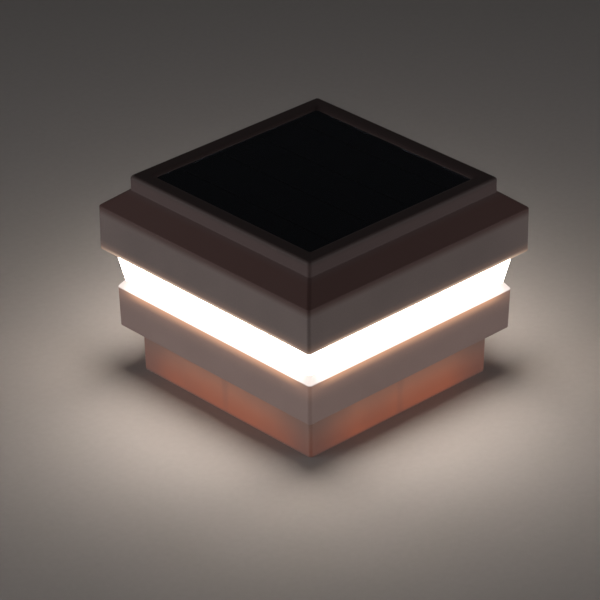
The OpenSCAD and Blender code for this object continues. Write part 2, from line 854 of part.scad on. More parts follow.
// Moulded cap: fascia, shoulder and the rim round the panel's pocket
module cap_shell() {
    profile = rounded(
        [
            [fascia_half - lower_round * 2, z_fascia],
            [fascia_half, z_fascia],
            [fascia_half, z_shoulder],
            [bezel_half, z_bezel],
            [bezel_half, z_top],
            [bezel_half - top_round * 2, z_top]
        ],
        [lower_round, fascia_round, cove_round, top_round]
    );
    outside = [for (p = profile) [p.x, max(corner_r - max(0, bezel_half - p.x) / 2, min_r), p.y]];
    bevel_slope = bevel_w / bevel_drop;
    rib_foot = z_seal + boss_r;
    rib_top = seal_top - gusset_t;
    rib_reach = seal_in - boss_half + seal_wall / 2;
    color(BODY)
        difference() {
            union() {
                difference() {
                    loft(outside);
                    loft([
                        [shell_in, shell_in_r, z_fascia - cut],
                        [shell_in, shell_in_r, shoulder_in_z(shell_in)],
                        [bezel_in, shell_in_r, shoulder_in_z(bezel_in)],
                        [bezel_in, shell_in_r, z_roof]
                    ]);
                    ring(z_roof - cut, z_top - shell_wall - z_roof + cut, bezel_in, rail_in, min_r);
                }
                ring(z_seal, seal_top - z_seal, seal_out, seal_in, corner_r);
                at_corners(boss_half) {
                    rod(z_lens, z_roof + shell_wall / 2, boss_r);
                    block([0, -gusset_t / 2, rib_foot], [rib_reach, gusset_t / 2, rib_top]);
                    block([-gusset_t / 2, 0, rib_foot], [gusset_t / 2, rib_reach, rib_top]);
                }
            }
            slab(z_pocket, z_top - z_pocket + cut, pocket_half, pocket_r);
            loft([
                [pocket_half, pocket_r, z_top - bevel_drop],
                [rail_in + bevel_slope * cut, pocket_r, z_top + cut]
            ]);
            translate([0, -lead_y, 0])
                rod(z_roof - cut, z_pocket + cut, lead_hole_r);
            at_corners(boss_half)
                rod(z_lens - cut, z_lens + pilot_depth, screw_r + pilot_gap);
        }
}

module panel_gasket() {
    color(SEAL)
        ring(z_pocket, panel_foam_t, panel_half, panel_half - panel_foam_w, pocket_r);
}

module panel_backboard() {
    color(BLACK)
        slab(z_backboard, backboard_t, panel_half, pocket_r);
}

module solar_cells() {
    color(CELL)
        for (i = [0:cell_cols - 1], j = [0:cell_rows - 1])
            translate([(i - (cell_cols - 1) / 2) * cell_dx, (j - (cell_rows - 1) / 2) * cell_dy, 0])
                plate(z_cells, cell_t, (cell_dx - cell_gap) / 2, (cell_dy - cell_gap) / 2, min_r);
}

// Two ribbons across each column of cells
module cell_ribbons() {
    color(STEEL)
        for (i = [0:cell_cols - 1], s = [-1, 1])
            translate([(i - (cell_cols - 1) / 2) * cell_dx + s * ribbon_dx - ribbon_w / 2, 0, 0])
                block([0, -cell_field / 2, z_cover - ribbon_t], [ribbon_w, cell_field / 2, z_cover]);
}

module panel_cover() {
    color(PANEL)
        slab(z_cover, cover_t, panel_half, pocket_r);
}

// Rubber bush round the panel's leads, with a flange under the roof
module lead_grommet() {
    bore_r = lead_x + wire_r + pilot_gap;
    lip_r = lead_hole_r + grommet_lip;
    color(SEAL)
        translate([0, -lead_y, 0])
            rotate_extrude()
                polygon([
                    [bore_r, z_roof - grommet_t],
                    [lip_r, z_roof - grommet_t],
                    [lip_r, z_roof],
                    [lead_hole_r, z_roof],
                    [lead_hole_r, z_pocket],
                    [bore_r, z_pocket]
                ]);
}

// ---- Light band ----

// Frosted square band that flares into the head, with a flange at its foot and at its top
module diffuser_lens() {
    color(FROST) {
        difference() {
            union() {
                difference() {
                    loft([[rim_half, corner_r, z_rim], [lens_half(z_lens), corner_r, z_lens]]);
                    loft([
                        [lens_half(z_rim - cut) - lens_wall, lens_in_r, z_rim - cut],
                        [lens_half(z_lens + cut) - lens_wall, lens_in_r, z_lens + cut]
                    ]);
                }
                slab(z_foot_flange, flange_t, lens_half(z_foot_flange) - lens_wall / 2, lens_in_r);
                slab(z_top_flange, flange_t, lens_half(z_top_flange) - lens_wall / 2, lens_in_r);
            }
            slab(z_foot_flange - cut, flange_t + 2 * cut, foot_flange_in, lens_in_r);
            slab(z_top_flange - cut, flange_t + 2 * cut, top_flange_in, lens_in_r);
        }
    }
}

module lens_gasket() {
    color(SEAL)
        ring(z_lens, lens_seal_t, seal_out + seal_proud, seal_in - seal_proud, corner_r);
}

module tray_gasket() {
    color(SEAL)
        ring(z_tray, tray_seal_t, tray_seal_half, tray_seal_half - tray_seal_w, min_r);
}

// ---- Tray ----

// Block round one hinge lug, with room for its pocket
module hinge_housing() {
    block(
        [lug_in - fit_gap - frame_wall, pocket_back - frame_wall, z_rim],
        [lug_out + fit_gap + pin_l + frame_wall, -door_y, pocket_top + frame_wall]
    );
}

module hinge_pocket() {
    block(
        [lug_in - fit_gap, pocket_back, z_rim - cut],
        [lug_out + fit_gap, -door_y, pocket_top]
    );
    translate([0, hinge_y, hinge_z])
        rod_x(lug_out, lug_out + fit_gap + pin_l, pin_r + pin_gap);
}

module light_tray() {
    color(WHITE) {
        difference() {
            union() {
                slab(z_rim, tray_t, tray_half, lens_in_r);
                ring(z_rim, led_wall_h + tray_t, led_wall_half, led_wall_half - led_wall_t, min_r);
                at_corners(boss_half)
                    rod(z_rim, z_lens, tower_r);
                at_sides() {
                    translate([tab_half - tab_t, -tab_w / 2, z_rim - tab_h])
                        cube([tab_t, tab_w, tab_h + tray_t / 2]);
                    for (s = [-1, 1])
                        translate([0, s * peg_x, z_led])
                            rod_x(led_wall_half - led_wall_t / 2, strip_face + led_t, peg_r);
                }
                plate(z_rim, frame_top - z_rim, frame_x, frame_y, door_r);
                plate(z_rim, z_box_top - z_rim, box_l / 2 + box_wall, box_w / 2 + box_wall, min_r);
                for (s = [0, 1])
                    mirror([s, 0, 0])
                        hinge_housing();
                translate([0, door_screw_y, 0]) {
                    rod(z_rim, frame_top, door_tab_r + fit_gap + frame_wall);
                    rod(z_rim, z_door + door_boss_h, door_screw_r + swing_gap + frame_wall);
                }
                translate([0, switch_y, 0])
                    plate(z_rim, recess_d + pan_t, pan_x, pan_y, door_r);
                for (x = [-1, 1], y = [-1, 1])
                    translate([x * standoff_x, -board_y + y * standoff_y, 0])
                        rod(z_rim, z_board, standoff_r);
            }
            // Battery well, door recess and hinge
            plate(z_rim - cut, z_box - z_rim + cut, box_l / 2, box_w / 2, min_r);
            translate([0, fit_gap - door_slack, 0])
                plate(z_rim - cut, z_seat - z_rim + cut, door_x + fit_gap, door_y + door_slack, door_r);
            for (s = [0, 1])
                mirror([s, 0, 0])
                    hinge_pocket();
            translate([0, door_screw_y, 0]) {
                rod(z_rim - cut, z_door + fit_gap, door_tab_r + fit_gap);
                rod(z_rim - cut, z_door + door_boss_h - cut, door_screw_r + swing_gap);
            }
            translate([-door_tab_r - fit_gap, door_y, z_rim - cut])
                cube([2 * (door_tab_r + fit_gap), door_screw_out, door_t + fit_gap + cut]);
            // Slots for the battery contacts' terminals
            for (s = [-1, 1])
                translate([s * (box_l + box_wall) / 2, 0, terminal_z])
                    cube([box_wall + cut, terminal_w + 2 * fit_gap, contact_t + 2 * fit_gap], true);
            // Recess and slot of the switch
            translate([0, switch_y, 0]) {
                plate(z_rim - cut, recess_d + cut, recess_l / 2, recess_w / 2, door_r);
                plate(pan_z - cut, pan_t + 2 * cut, slot_l / 2, slot_w / 2, min_r);
            }
            // Screw holes
            at_corners(boss_half) {
                rod(z_rim - cut, z_tower_seat, screw_head_r + shank_gap);
                rod(z_rim, z_lens + cut, screw_r + shank_gap);
            }
            for (x = [-1, 1], y = [-1, 1])
                translate([x * standoff_x, -board_y + y * standoff_y, 0])
                    rod(z_tray, z_board + cut, board_screw_r + pilot_gap);
        }
        // Saddles that hold the cell
        for (s = [-1, 1])
            translate([s * saddle_pitch / 2, 0, 0])
                difference() {
                    block(
                        [-saddle_t / 2, -box_w / 2 - box_wall / 2, z_cell - saddle_wrap],
                        [saddle_t / 2, box_w / 2 + box_wall / 2, z_box + box_wall / 2]
                    );
                    translate([0, 0, z_cell])
                        rod_x(-saddle_t, saddle_t, cell_d / 2 + saddle_gap);
                }
    }
}

module tray_screws() {
    color(STEEL)
        at_corners(boss_half)
            translate([0, 0, z_tower_seat])
                screw(screw_r, screw_head_r, screw_head_h, tray_screw_l);
}

// ---- LEDs ----

// Strip on the outside of the LED wall; side 0 faces right, and the others follow round
module led_board(side) {
    color(WHITE)
        rotate(90 * side)
            difference() {
                translate([led_wall_half, -strip_l / 2, z_strip])
                    cube([strip_t, strip_l, strip_h]);
                for (s = [-1, 1])
                    translate([0, s * peg_x, z_led])
                        rod_x(led_wall_half - cut, strip_face + cut, peg_r + pin_gap);
            }
}

module led_board_front() {
    led_board(3);
}

module led_board_right() {
    led_board(0);
}

module led_board_back() {
    led_board(1);
}

module led_board_left() {
    led_board(2);
}

module led_chips() {
    color(LIT)
        at_sides()
            for (i = [0:led_count - 1])
                translate([strip_face, (i - (led_count - 1) / 2) * led_pitch - led_l / 2, z_led - led_w / 2])
                    cube([led_t, led_l, led_w]);
}

// ---- Circuit ----

module control_board() {
    color(BOARD)
        difference() {
            translate([0, -board_y, 0])
                plate(z_board, board_t, board_l / 2, board_w / 2, min_r);
            for (x = [-1, 1], y = [-1, 1])
                translate([x * standoff_x, -board_y + y * standoff_y, 0])
                    rod(z_board - cut, z_board_top + cut, board_screw_r + shank_gap);
        }
}

module board_screws() {
    color(STEEL)
        for (x = [-1, 1], y = [-1, 1])
            translate([x * standoff_x, -board_y + y * standoff_y, z_board_top])
                mirror([0, 0, 1])
                    screw(board_screw_r, board_head_r, board_head_h, board_screw_l);
}

// Drum core with its winding between two flanges
module inductor() {
    waist = coil_r - coil_lip / 2;
    color(COPPER)
        translate([-3 * connector_pitch / 2, parts_y, z_board_top])
            rotate_extrude()
                polygon([
                    [0, 0],
                    [coil_r, 0],
                    [coil_r, coil_lip],
                    [waist, coil_lip],
                    [waist, coil_h - coil_lip],
                    [coil_r, coil_h - coil_lip],
                    [coil_r, coil_h],
                    [0, coil_h]
                ]);
}

module capacitor() {
    color(DARK)
        translate([-connector_pitch / 2, parts_y, z_board_top])
            rotate_extrude()
                polygon([
                    [0, 0],
                    [can_r, 0],
                    [can_r, can_h - can_edge],
                    [can_r - can_edge, can_h],
                    [can_r - 2 * can_edge, can_h - can_edge],
                    [0, can_h - can_edge]
                ]);
}

// Chip with four legs a side
module driver_chip() {
    legs = 4;
    pitch = chip_l / legs;
    color(DARK)
        translate([connector_pitch / 2, parts_y, z_board_top]) {
            block([-chip_l / 2, -chip_w / 2, leg_t / 2], [chip_l / 2, chip_w / 2, chip_t]);
            for (i = [0:legs - 1], s = [0, 1])
                mirror([0, s, 0])
                    translate([(i - (legs - 1) / 2) * pitch, 0, 0])
                        block([-leg_t, chip_w / 2 - leg_t, 0], [leg_t, chip_w / 2 + leg_l, leg_t]);
        }
}

// Four two-way wire connectors: panel, battery, switch and LEDs
module connectors() {
    color(WHITE)
        for (x = connector_x)
            translate([x - connector_l / 2, connector_y - connector_w / 2, z_board_top])
                difference() {
                    cube([connector_l, connector_w, connector_h]);
                    translate([connector_key, -cut, connector_h / 2])
                        cube([connector_l - 2 * connector_key, cut + connector_key / 2, connector_h]);
                }
}

// ---- Switch ----

// Slide switch on top of the recess, with its three terminals up
module switch_body() {
    color(DARK)
        translate([0, switch_y, 0])
            difference() {
                union() {
                    translate([-switch_l / 2, -switch_w / 2, pan_top])
                        cube([switch_l, switch_w, switch_h]);
                    for (i = [-1, 0, 1])
                        translate([i * pin_pitch - pin_w / 2, -pin_w / 2, pan_top + switch_h / 2])
                            cube([pin_w, pin_w, switch_h / 2 + pin_h]);
                }
                translate([-slot_l / 2, -slot_w / 2, pan_top - cut])
                    cube([slot_l, slot_w, stem_in + fit_gap + cut]);
            }
}

// Knob at its off end: a thumb pad in the recess, and a stem up into the switch
module switch_knob() {
    pad_top = pan_z - fit_gap;
    stem = stem_w / 2;
    color(BLACK)
        translate([knob_x, switch_y, 0]) {
            block([-stem, -stem, pad_top - pad_t / 2], [stem, stem, pan_top + stem_in]);
            difference() {
                block([-pad_l / 2, -pad_w / 2, pad_top - pad_t], [pad_l / 2, pad_w / 2, pad_top]);
                for (i = [-1, 0, 1])
                    translate([i * pad_groove_pitch, 0, pad_top - pad_t])
                        rotate([90, 0, 0])
                            cylinder(h = 2 * pad_w, r = pad_groove_r, center = true);
            }
        }
}

// ---- Battery ----

module battery_cell() {
    r = cell_d / 2;
    can = cell_l - nub_h;
    crimp = can - crimp_in;
    color(WRAP)
        translate([cell_x, 0, z_cell])
            rotate([0, 90, 0])
                rotate_extrude()
                    polygon([
                        [0, 0],
                        [r - cell_edge, 0],
                        [r, cell_edge],
                        [r, crimp - 2 * crimp_d],
                        [r - crimp_d, crimp - crimp_d],
                        [r, crimp],
                        [r, can - cell_edge],
                        [r - cell_edge, can],
                        [nub_r + cell_edge, can],
                        [nub_r, cell_l],
                        [0, cell_l]
                    ]);
}

// Conical spring between its plate and the cell's flat end, with straight ends
function spring_point(u) =
    let (
        stub = 2 * spring_wire_r,
        r = spring_r0 + (spring_r1 - spring_r0) * u,
        a = 360 * spring_turns * u
    )
    [spring_x + stub + (spring_len - 2 * stub) * u, r * cos(a), z_cell + r * sin(a)];

spring_path = concat(
    [[spring_x, spring_r0, z_cell]],
    [for (i = [0:spring_turns * spring_rings]) spring_point(i / (spring_turns * spring_rings))],
    [[spring_x + spring_len, spring_r1, z_cell]]
);

module battery_spring() {
    color(STEEL)
        tube(spring_path, spring_wire_r, spring_sides);
}

// Clear gap between neighbouring turns, measured a whole turn apart
spring_gap = min([
    for (i = [1:len(spring_path) - 2 - spring_rings])
        norm(spring_path[i + spring_rings] - spring_path[i])
]) - 2 * spring_wire_r;
echo(str("least gap of the battery spring to itself: ", spring_gap, " mm"));

// Contact plate with the terminal that goes out through the box's end
module contact_plate() {
    translate([0, -contact_w / 2, z_cell - contact_w / 2])
        cube([contact_t, contact_w, contact_w]);
    translate([0, -terminal_w / 2, terminal_z - contact_t / 2])
        cube([terminal_out - box_l / 2 + contact_t, terminal_w, contact_t]);
}

module spring_plate() {
    color(STEEL)
        translate([-box_l / 2 + contact_t, 0, 0])
            mirror([1, 0, 0])
                contact_plate();
}

module contact_plus() {
    color(STEEL)
        translate([box_l / 2 - contact_t, 0, 0]) {
            contact_plate();
            translate([0, 0, z_cell])
                rod_x(-dimple_h, 0, dimple_r);
        }
}

// ---- Battery door ----

module door_gasket() {
    inner = seat_w - door_seal_w;
    color(SEAL)
        difference() {
            plate(z_door, door_seal_t, door_x - inner / 2, door_y - inner / 2, door_r);
            plate(z_door - cut, door_seal_t + 2 * cut, box_l / 2 + inner / 2, box_w / 2 + inner / 2, min_r);
        }
}

// Door with two hinge lugs, their pins and the tab for the screw
module battery_door() {
    color(WHITE)
        difference() {
            union() {
                plate(z_rim, door_t, door_x, door_y, door_r);
                for (s = [0, 1])
                    mirror([s, 0, 0]) {
                        block([lug_in, hinge_y, z_rim], [lug_out, -door_y + door_t, z_door]);
                        translate([0, hinge_y, hinge_z]) {
                            rod_x(lug_in, lug_out, knuckle_r);
                            rod_x(lug_out - cut, lug_out + pin_l, pin_r);
                        }
                    }
                block([-door_tab_r, door_y - door_t, z_rim], [door_tab_r, door_screw_y, z_door]);
                translate([0, door_screw_y, 0])
                    rod(z_rim, z_door, door_tab_r);
            }
            translate([0, door_screw_y, 0]) {
                rod(z_rim - cut, z_rim + door_head_h, door_head_r + shank_gap);
                rod(z_rim, z_door + cut, door_screw_r + shank_gap);
            }
            // Finger grooves
            for (i = [-1, 0, 1])
                translate([-door_x / 2, i * groove_pitch, z_rim])
                    rod_x(-groove_l / 2, groove_l / 2, groove_r);
        }
}

module door_screw() {
    color(STEEL)
        translate([0, door_screw_y, z_rim + door_head_h])
            screw(door_screw_r, door_head_r, door_head_h, door_screw_l);
}

// ---- Wires ----
// Each route starts and ends straight, square to what it joins. Its points are chosen by hand,
// as distances from the pieces that it runs past.

// Down onto side -1 or 1 of a connector, from a point over it
function into_connector(i, side, rise) =
    let (x = connector_x[i] + side * wire_pitch / 2)
    [
        [x, connector_y, z_connector + rise],
        [x, connector_y, z_connector + rise / 2],
        [x, connector_y, z_connector]
    ];

// From the panel down through the grommet
function panel_route(side) = concat(
    [
        [side * lead_x, -lead_y, z_backboard],
        [side * lead_x, -lead_y, z_roof - 4],
        [side * lead_x, -lead_y, z_roof - 8],
        [side * lead_x - 5, -lead_y - 1, z_roof - 16],
        [side * lead_x - 14, -lead_y - 3, z_roof - 23]
    ],
    into_connector(0, side, 9)
);

// From a battery terminal round the end of the box
function battery_route(side) = concat(
    [
        [side * terminal_out, 0, terminal_z],
        [side * (terminal_out + 3), 0, terminal_z],
        [side * (terminal_out + 5), -box_w / 2, terminal_z],
        [side * (terminal_out - 1), -box_w, terminal_z],
        [side * (terminal_out - 22), connector_y + 6, z_connector + 4.5]
    ],
    into_connector(1, side, 6)
);

// From terminal 0 or 1 of the switch over the battery box
function switch_route(i) = concat(
    [
        [i * pin_pitch, switch_y, pan_top + switch_h + pin_h],
        [i * pin_pitch, switch_y, pan_top + switch_h + pin_h + 3],
        [i * pin_pitch, switch_y - 2, pan_top + switch_h + pin_h + 7],
        [i * pin_pitch + 1, box_w / 2 + 8, z_box_top + 1.6],
        [i * 3 + 3, 0, z_box_top + 1.6],
        [i * 3 + 4, -box_w / 2 - 6, z_box_top + 1.6],
        [i * 3 + 5, connector_y + 2, z_connector + 9]
    ],
    into_connector(2, 2 * i - 1, 6)
);

// From the front strip over the LED wall
function led_route(side) =
    let (x = connector_x[3] + side * wire_pitch / 2)
    concat(
        [
            [x, -strip_face, z_led + 3.5],
            [x, -strip_face - 2, z_led + 3.5],
            [x, -strip_face - 2.5, z_led + 7],
            [x, -led_wall_half, z_led_wall + 2],
            [x, -led_wall_half + 8, z_led_wall + 1.4],
            [x, connector_y - 6, z_connector + 8]
        ],
        into_connector(3, side, 6)
    );

// Over the LED wall's corner from one strip's end to the next one's; step sets the pair apart
function jumper_route(step) =
    let (a = peg_x - 3 - step, b = led_wall_half - 4 - step / 2)
    [
        [strip_face, a, z_led + 3.5],
        [strip_face + 2, a, z_led + 3.5],
        [strip_face + 2.5, a, z_led + 7],
        [led_wall_half, a, z_led_wall + 2],
        [b, a + 2, z_led_wall + 1.4],
        [a + 2, b, z_led_wall + 1.4],
        [a, led_wall_half, z_led_wall + 2],
        [a, strip_face + 2.5, z_led + 7],
        [a, strip_face + 2, z_led + 3.5],
        [a, strip_face, z_led + 3.5]
    ];

module panel_lead_red() {
    color(RED)
        wire(panel_route(1), wire_r);
}

module panel_lead_black() {
    color(BLACK)
        wire(panel_route(-1), wire_r);
}

module battery_lead_red() {
    color(RED)
        wire(battery_route(1), wire_r);
}

module battery_lead_black() {
    color(BLACK)
        wire(battery_route(-1), wire_r);
}

module switch_leads() {
    color(DARK)
        for (i = [0, 1])
            wire(switch_route(i), led_wire_r);
}

module led_lead() {
    color(DARK)
        for (side = [-1, 1])
            wire(led_route(side), led_wire_r);
}

// Three pairs, so that the strips form a chain from the front strip
module led_jumpers() {
    pair = 3;
    color(DARK)
        for (q = [0, 1, 3], step = [0, pair])
            rotate(90 * q)
                wire(jumper_route(step), led_wire_r);
}

post_skirt();
tier_shell();
tier_screws();
cap_shell();
panel_gasket();
panel_backboard();
solar_cells();
cell_ribbons();
panel_cover();
lens_gasket();
diffuser_lens();
tray_gasket();
light_tray();
tray_screws();
led_board_front();
led_board_right();
led_board_back();
led_board_left();
led_chips();
control_board();
board_screws();
inductor();
capacitor();
driver_chip();
connectors();
switch_body();
switch_knob();
battery_cell();
battery_spring();
spring_plate();
contact_plus();
door_gasket();
battery_door();
door_screw();
lead_grommet();
panel_lead_red();
panel_lead_black();
battery_lead_red();
battery_lead_black();
switch_leads();
led_lead();
led_jumpers();
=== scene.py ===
import json
from math import cos, floor, pi, radians, sin

import bmesh
import bpy
from mathutils import Matrix, Quaternion, Vector


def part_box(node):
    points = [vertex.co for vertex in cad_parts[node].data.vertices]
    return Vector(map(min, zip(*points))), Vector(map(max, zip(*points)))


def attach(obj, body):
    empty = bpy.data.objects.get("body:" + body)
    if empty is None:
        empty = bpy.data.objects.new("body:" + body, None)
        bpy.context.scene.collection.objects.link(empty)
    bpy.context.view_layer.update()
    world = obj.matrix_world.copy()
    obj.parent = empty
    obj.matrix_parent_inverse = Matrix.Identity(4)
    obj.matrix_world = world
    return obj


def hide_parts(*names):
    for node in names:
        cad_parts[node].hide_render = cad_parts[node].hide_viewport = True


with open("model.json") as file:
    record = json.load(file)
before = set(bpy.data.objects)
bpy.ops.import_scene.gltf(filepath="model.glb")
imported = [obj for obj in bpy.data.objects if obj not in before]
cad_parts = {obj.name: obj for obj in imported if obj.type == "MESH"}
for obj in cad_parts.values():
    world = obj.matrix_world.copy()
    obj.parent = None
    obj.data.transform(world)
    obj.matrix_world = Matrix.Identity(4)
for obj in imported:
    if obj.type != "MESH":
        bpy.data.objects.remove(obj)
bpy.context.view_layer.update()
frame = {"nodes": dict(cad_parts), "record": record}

body_of = {n: b for b, members in frame["record"]["behaviour"]["bodies"].items() for n in members}

# ---- Post skirt ----
# The sleeve that drops over the post: one thin vinyl moulding, open below, with a plate across
# its top. Light from inside that comes through its wall is painted into its emission as a salmon
# glow, dimmer at the corners, with painted shade where the centring ribs stand behind the middle
# of each side.


class Flow:
    """What runs out of a node: a number, a colour or a vector, with the arithmetic for numbers."""

    def __init__(self, graph, socket):
        self.graph = graph
        self.socket = socket

    def maths(self, operation, *terms):
        return self.graph.node("ShaderNodeMath", {"operation": operation}, dict(enumerate(terms)))

    def __add__(self, other):
        return self.maths("ADD", self, other)

    def __radd__(self, other):
        return self.maths("ADD", other, self)

    def __sub__(self, other):
        return self.maths("SUBTRACT", self, other)

    def __rsub__(self, other):
        return self.maths("SUBTRACT", other, self)

    def __mul__(self, other):
        return self.maths("MULTIPLY", self, other)

    def __rmul__(self, other):
        return self.maths("MULTIPLY", other, self)

    def __truediv__(self, other):
        return self.maths("DIVIDE", self, other)

    def __pow__(self, other):
        return self.maths("POWER", self, other)

    def __abs__(self):
        return self.maths("ABSOLUTE", self)

    def lower(self, other):
        return self.maths("MINIMUM", self, other)

    def higher(self, other):
        return self.maths("MAXIMUM", self, other)

    def from_nearest(self, pitch):
        """The distance from the nearest multiple of pitch."""
        return self.maths("PINGPONG", self, pitch / 2)

    def ease(self, start, end):
        """0 at start and 1 at end, smoothly; start may be the larger."""
        ends = {"Value": self, "From Min": start, "From Max": end}
        return self.graph.node("ShaderNodeMapRange", {"interpolation_type": "SMOOTHSTEP"}, ends)


class Graph:
    """A node tree, whose nodes are all made by one method."""

    def __init__(self, tree):
        self.tree = tree

    def node(self, kind, settings=None, inputs=None, out=0):
        made = self.tree.nodes.new(kind)
        for key, value in (settings or {}).items():
            setattr(made, key, value)
        for place, value in (inputs or {}).items():
            self.feed(made.inputs[place], value)
        return Flow(self, made.outputs[out])

    def feed(self, socket, value):
        if isinstance(value, Flow):
            self.tree.links.new(value.socket, socket)
        elif socket.type == "RGBA" and len(value) == 3:
            socket.default_value = (*value, 1)
        else:
            socket.default_value = value

    def blend(self, share, first, second):
        """From the first colour at 0 to the second at 1."""
        return self.node("ShaderNodeMix", {"data_type": "RGBA"}, {0: share, 6: first, 7: second}, 2)


class Finish(Graph):
    """A material that is worked out from the place on the object, in metres."""

    def __init__(self, name):
        self.material = bpy.data.materials.new(name)
        self.material.use_nodes = True
        super().__init__(self.material.node_tree)
        self.shader = self.tree.nodes["Principled BSDF"]
        self.place = self.node("ShaderNodeTexCoord", out="Object")
        self.x = self.node("ShaderNodeSeparateXYZ", inputs={0: self.place}, out="X")
        self.y = self.node("ShaderNodeSeparateXYZ", inputs={0: self.place}, out="Y")
        self.z = self.node("ShaderNodeSeparateXYZ", inputs={0: self.place}, out="Z")

    def shade(self, values):
        for name, value in values.items():
            self.feed(self.shader.inputs[name], value)

    def noise(self, size, detail=2.0):
        """Cloudy noise from 0 to 1, with features about size metres wide."""
        inputs = {"Vector": self.place, "Scale": 1 / size, "Detail": detail}
        return self.node("ShaderNodeTexNoise", inputs=inputs)

    def relief(self, height, depth):
        """A bump of that depth in metres."""
        return self.node("ShaderNodeBump", inputs={"Distance": depth, "Height": height})

    def along(self):
        """The distance from the middle of a side, alike on all four sides."""
        return abs(self.x).lower(abs(self.y))

    def outward(self):
        """The distance from the middle of the object, out to its square sides."""
        return abs(self.x).higher(abs(self.y))


def tone(colour, factor):
    """That colour, lighter above a factor of 1 and darker below it."""
    return tuple(min(1.0, c * factor) for c in colour)


def moulded(name, colour, gloss=0.56):
    """Injection-moulded plastic: a fine eroded grain, faint flow marks and an uneven sheen."""
    finish = Finish(name)
    flow = finish.noise(0.045, 3.0)
    speck = finish.noise(0.0011, 2.0)
    grain = finish.noise(0.00042, 1.0)
    shade = (flow * 0.65 + speck * 0.35).ease(0.3, 0.7)
    finish.base = finish.blend(shade, tone(colour, 0.92), tone(colour, 1.07))
    finish.shade({
        "Base Color": finish.base,
        "Roughness": gloss - 0.05 + flow * 0.07 + speck * 0.05,
        "Specular IOR Level": 0.26,
        "Normal": finish.relief(grain * 0.6 + speck * 0.4, 0.00003),
    })
    return finish


def piece_from(name, corners, faces):
    mesh = bpy.data.meshes.new(name)
    mesh.from_pydata(corners, [], faces)
    mesh.shade_smooth()
    piece = bpy.data.objects.new(name, mesh)
    bpy.context.scene.collection.objects.link(piece)
    return piece


def settle(piece):
    """Makes the result of a piece's modifiers its mesh."""
    graph = bpy.context.evaluated_depsgraph_get()
    mesh = bpy.data.meshes.new_from_object(piece.evaluated_get(graph))
    piece.modifiers.clear()
    piece.data = mesh
    return piece


def even_shading(piece, angle=38):
    """Keeps edges over that angle crisp, and has the large faces lead the shading round them."""
    piece.data.set_sharp_from_angle(angle=radians(angle))
    weigh = piece.modifiers.new("even_shading", "WEIGHTED_NORMAL")
    weigh.keep_sharp = True
    return settle(piece)


def merged(node, join):
    """A mesh in the making from a node's loose triangles: corners joined and flats made whole."""
    work = bmesh.new()
    work.from_mesh(frame["nodes"][node].data)
    bmesh.ops.remove_doubles(work, verts=work.verts, dist=join)
    bmesh.ops.dissolve_limit(work, angle_limit=radians(0.6), verts=work.verts, edges=work.edges)
    return work


def piece_of(name, work):
    """The piece with that mesh, free of the shading that its triangles came with."""
    work.verts.index_update()
    corners = [v.co.copy() for v in work.verts]
    faces = [[v.index for v in f.verts] for f in work.faces]
    work.free()
    return piece_from(name, corners, faces)


def cast(node, fillet=0.0, join=0.000002):
    """A node's shape as it leaves the mould, with its edges softened by that fillet."""
    piece = piece_of(node + "_cast", merged(node, join))
    if fillet:
        soft = piece.modifiers.new("fillet", "BEVEL")
        soft.width = fillet
        soft.segments = 2
        soft.limit_method = "ANGLE"
        soft.angle_limit = radians(40)
        settle(piece)
    return even_shading(piece)


def fit(piece, node, finish):
    """Gives a piece its finish, has it ride with its node's body, and hides the node that it stands
    for.
    """
    piece.data.materials.clear()
    piece.data.materials.append(finish.material)
    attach(piece, body_of[node])
    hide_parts(node)


vinyl = (0.125, 0.097, 0.091)
sleeve = moulded("lit_skirt_vinyl", vinyl)
sleeve_half = 0.0666
plate_height = 0.028
rib_half = 0.004
# Painted light: the lamp's light through the wall is painted into the emission as a salmon glow, with
# the base colour warmed under it. The glow is painted dimmer towards the tier and at the corners, with
# painted shade behind the ribs and a painted dark band along the foot.
under_plate = sleeve.z.ease(plate_height + 0.003, plate_height - 0.002)
upright = under_plate * sleeve.outward().ease(sleeve_half - 0.003, sleeve_half - 0.001)
low_wall = 0.5 + 0.5 * sleeve.z.ease(plate_height, 0.010)
off_corner = 0.36 + 0.64 * sleeve.along().ease(0.065, 0.030)
off_rib = 1 - 0.2 * sleeve.along().ease(rib_half, 0.0005)
cloud = 0.62 + 0.7 * sleeve.noise(0.028)
off_foot = 0.35 + 0.65 * sleeve.z.ease(0.0002, 0.0022)
painted_glow = upright * low_wall * off_corner * off_rib * off_foot * cloud
painted_glow_tint = sleeve.blend(sleeve.z.ease(0.026, 0.002), (0.200, 0.078, 0.046), (0.200, 0.038, 0.012))
sleeve.shade({
    "Base Color": sleeve.blend(painted_glow, sleeve.base, (0.118, 0.084, 0.068)),
    "Emission Color": sleeve.blend(painted_glow, (0.004, 0.002, 0.002), painted_glow_tint),
    "Emission Strength": 1.0,
})
fit(cast("post_skirt", 0.0003), "post_skirt", sleeve)

# ---- Tier ----
# The wide step over the sleeve, of the same vinyl, with a sloped ledge and a flat rim on which
# the head sits. The lamp's light is painted into its emission: a flood on the ledge, and a warm
# painted glow on the edge under it.

tier = moulded("tier_vinyl", vinyl)
tier_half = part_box("tier_shell")[1].x
tier_top = 0.052
rim_half = 0.0733
rim_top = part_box("tier_shell")[1].z
draws_in = (tier_half - rim_half) / (rim_top - tier_top)
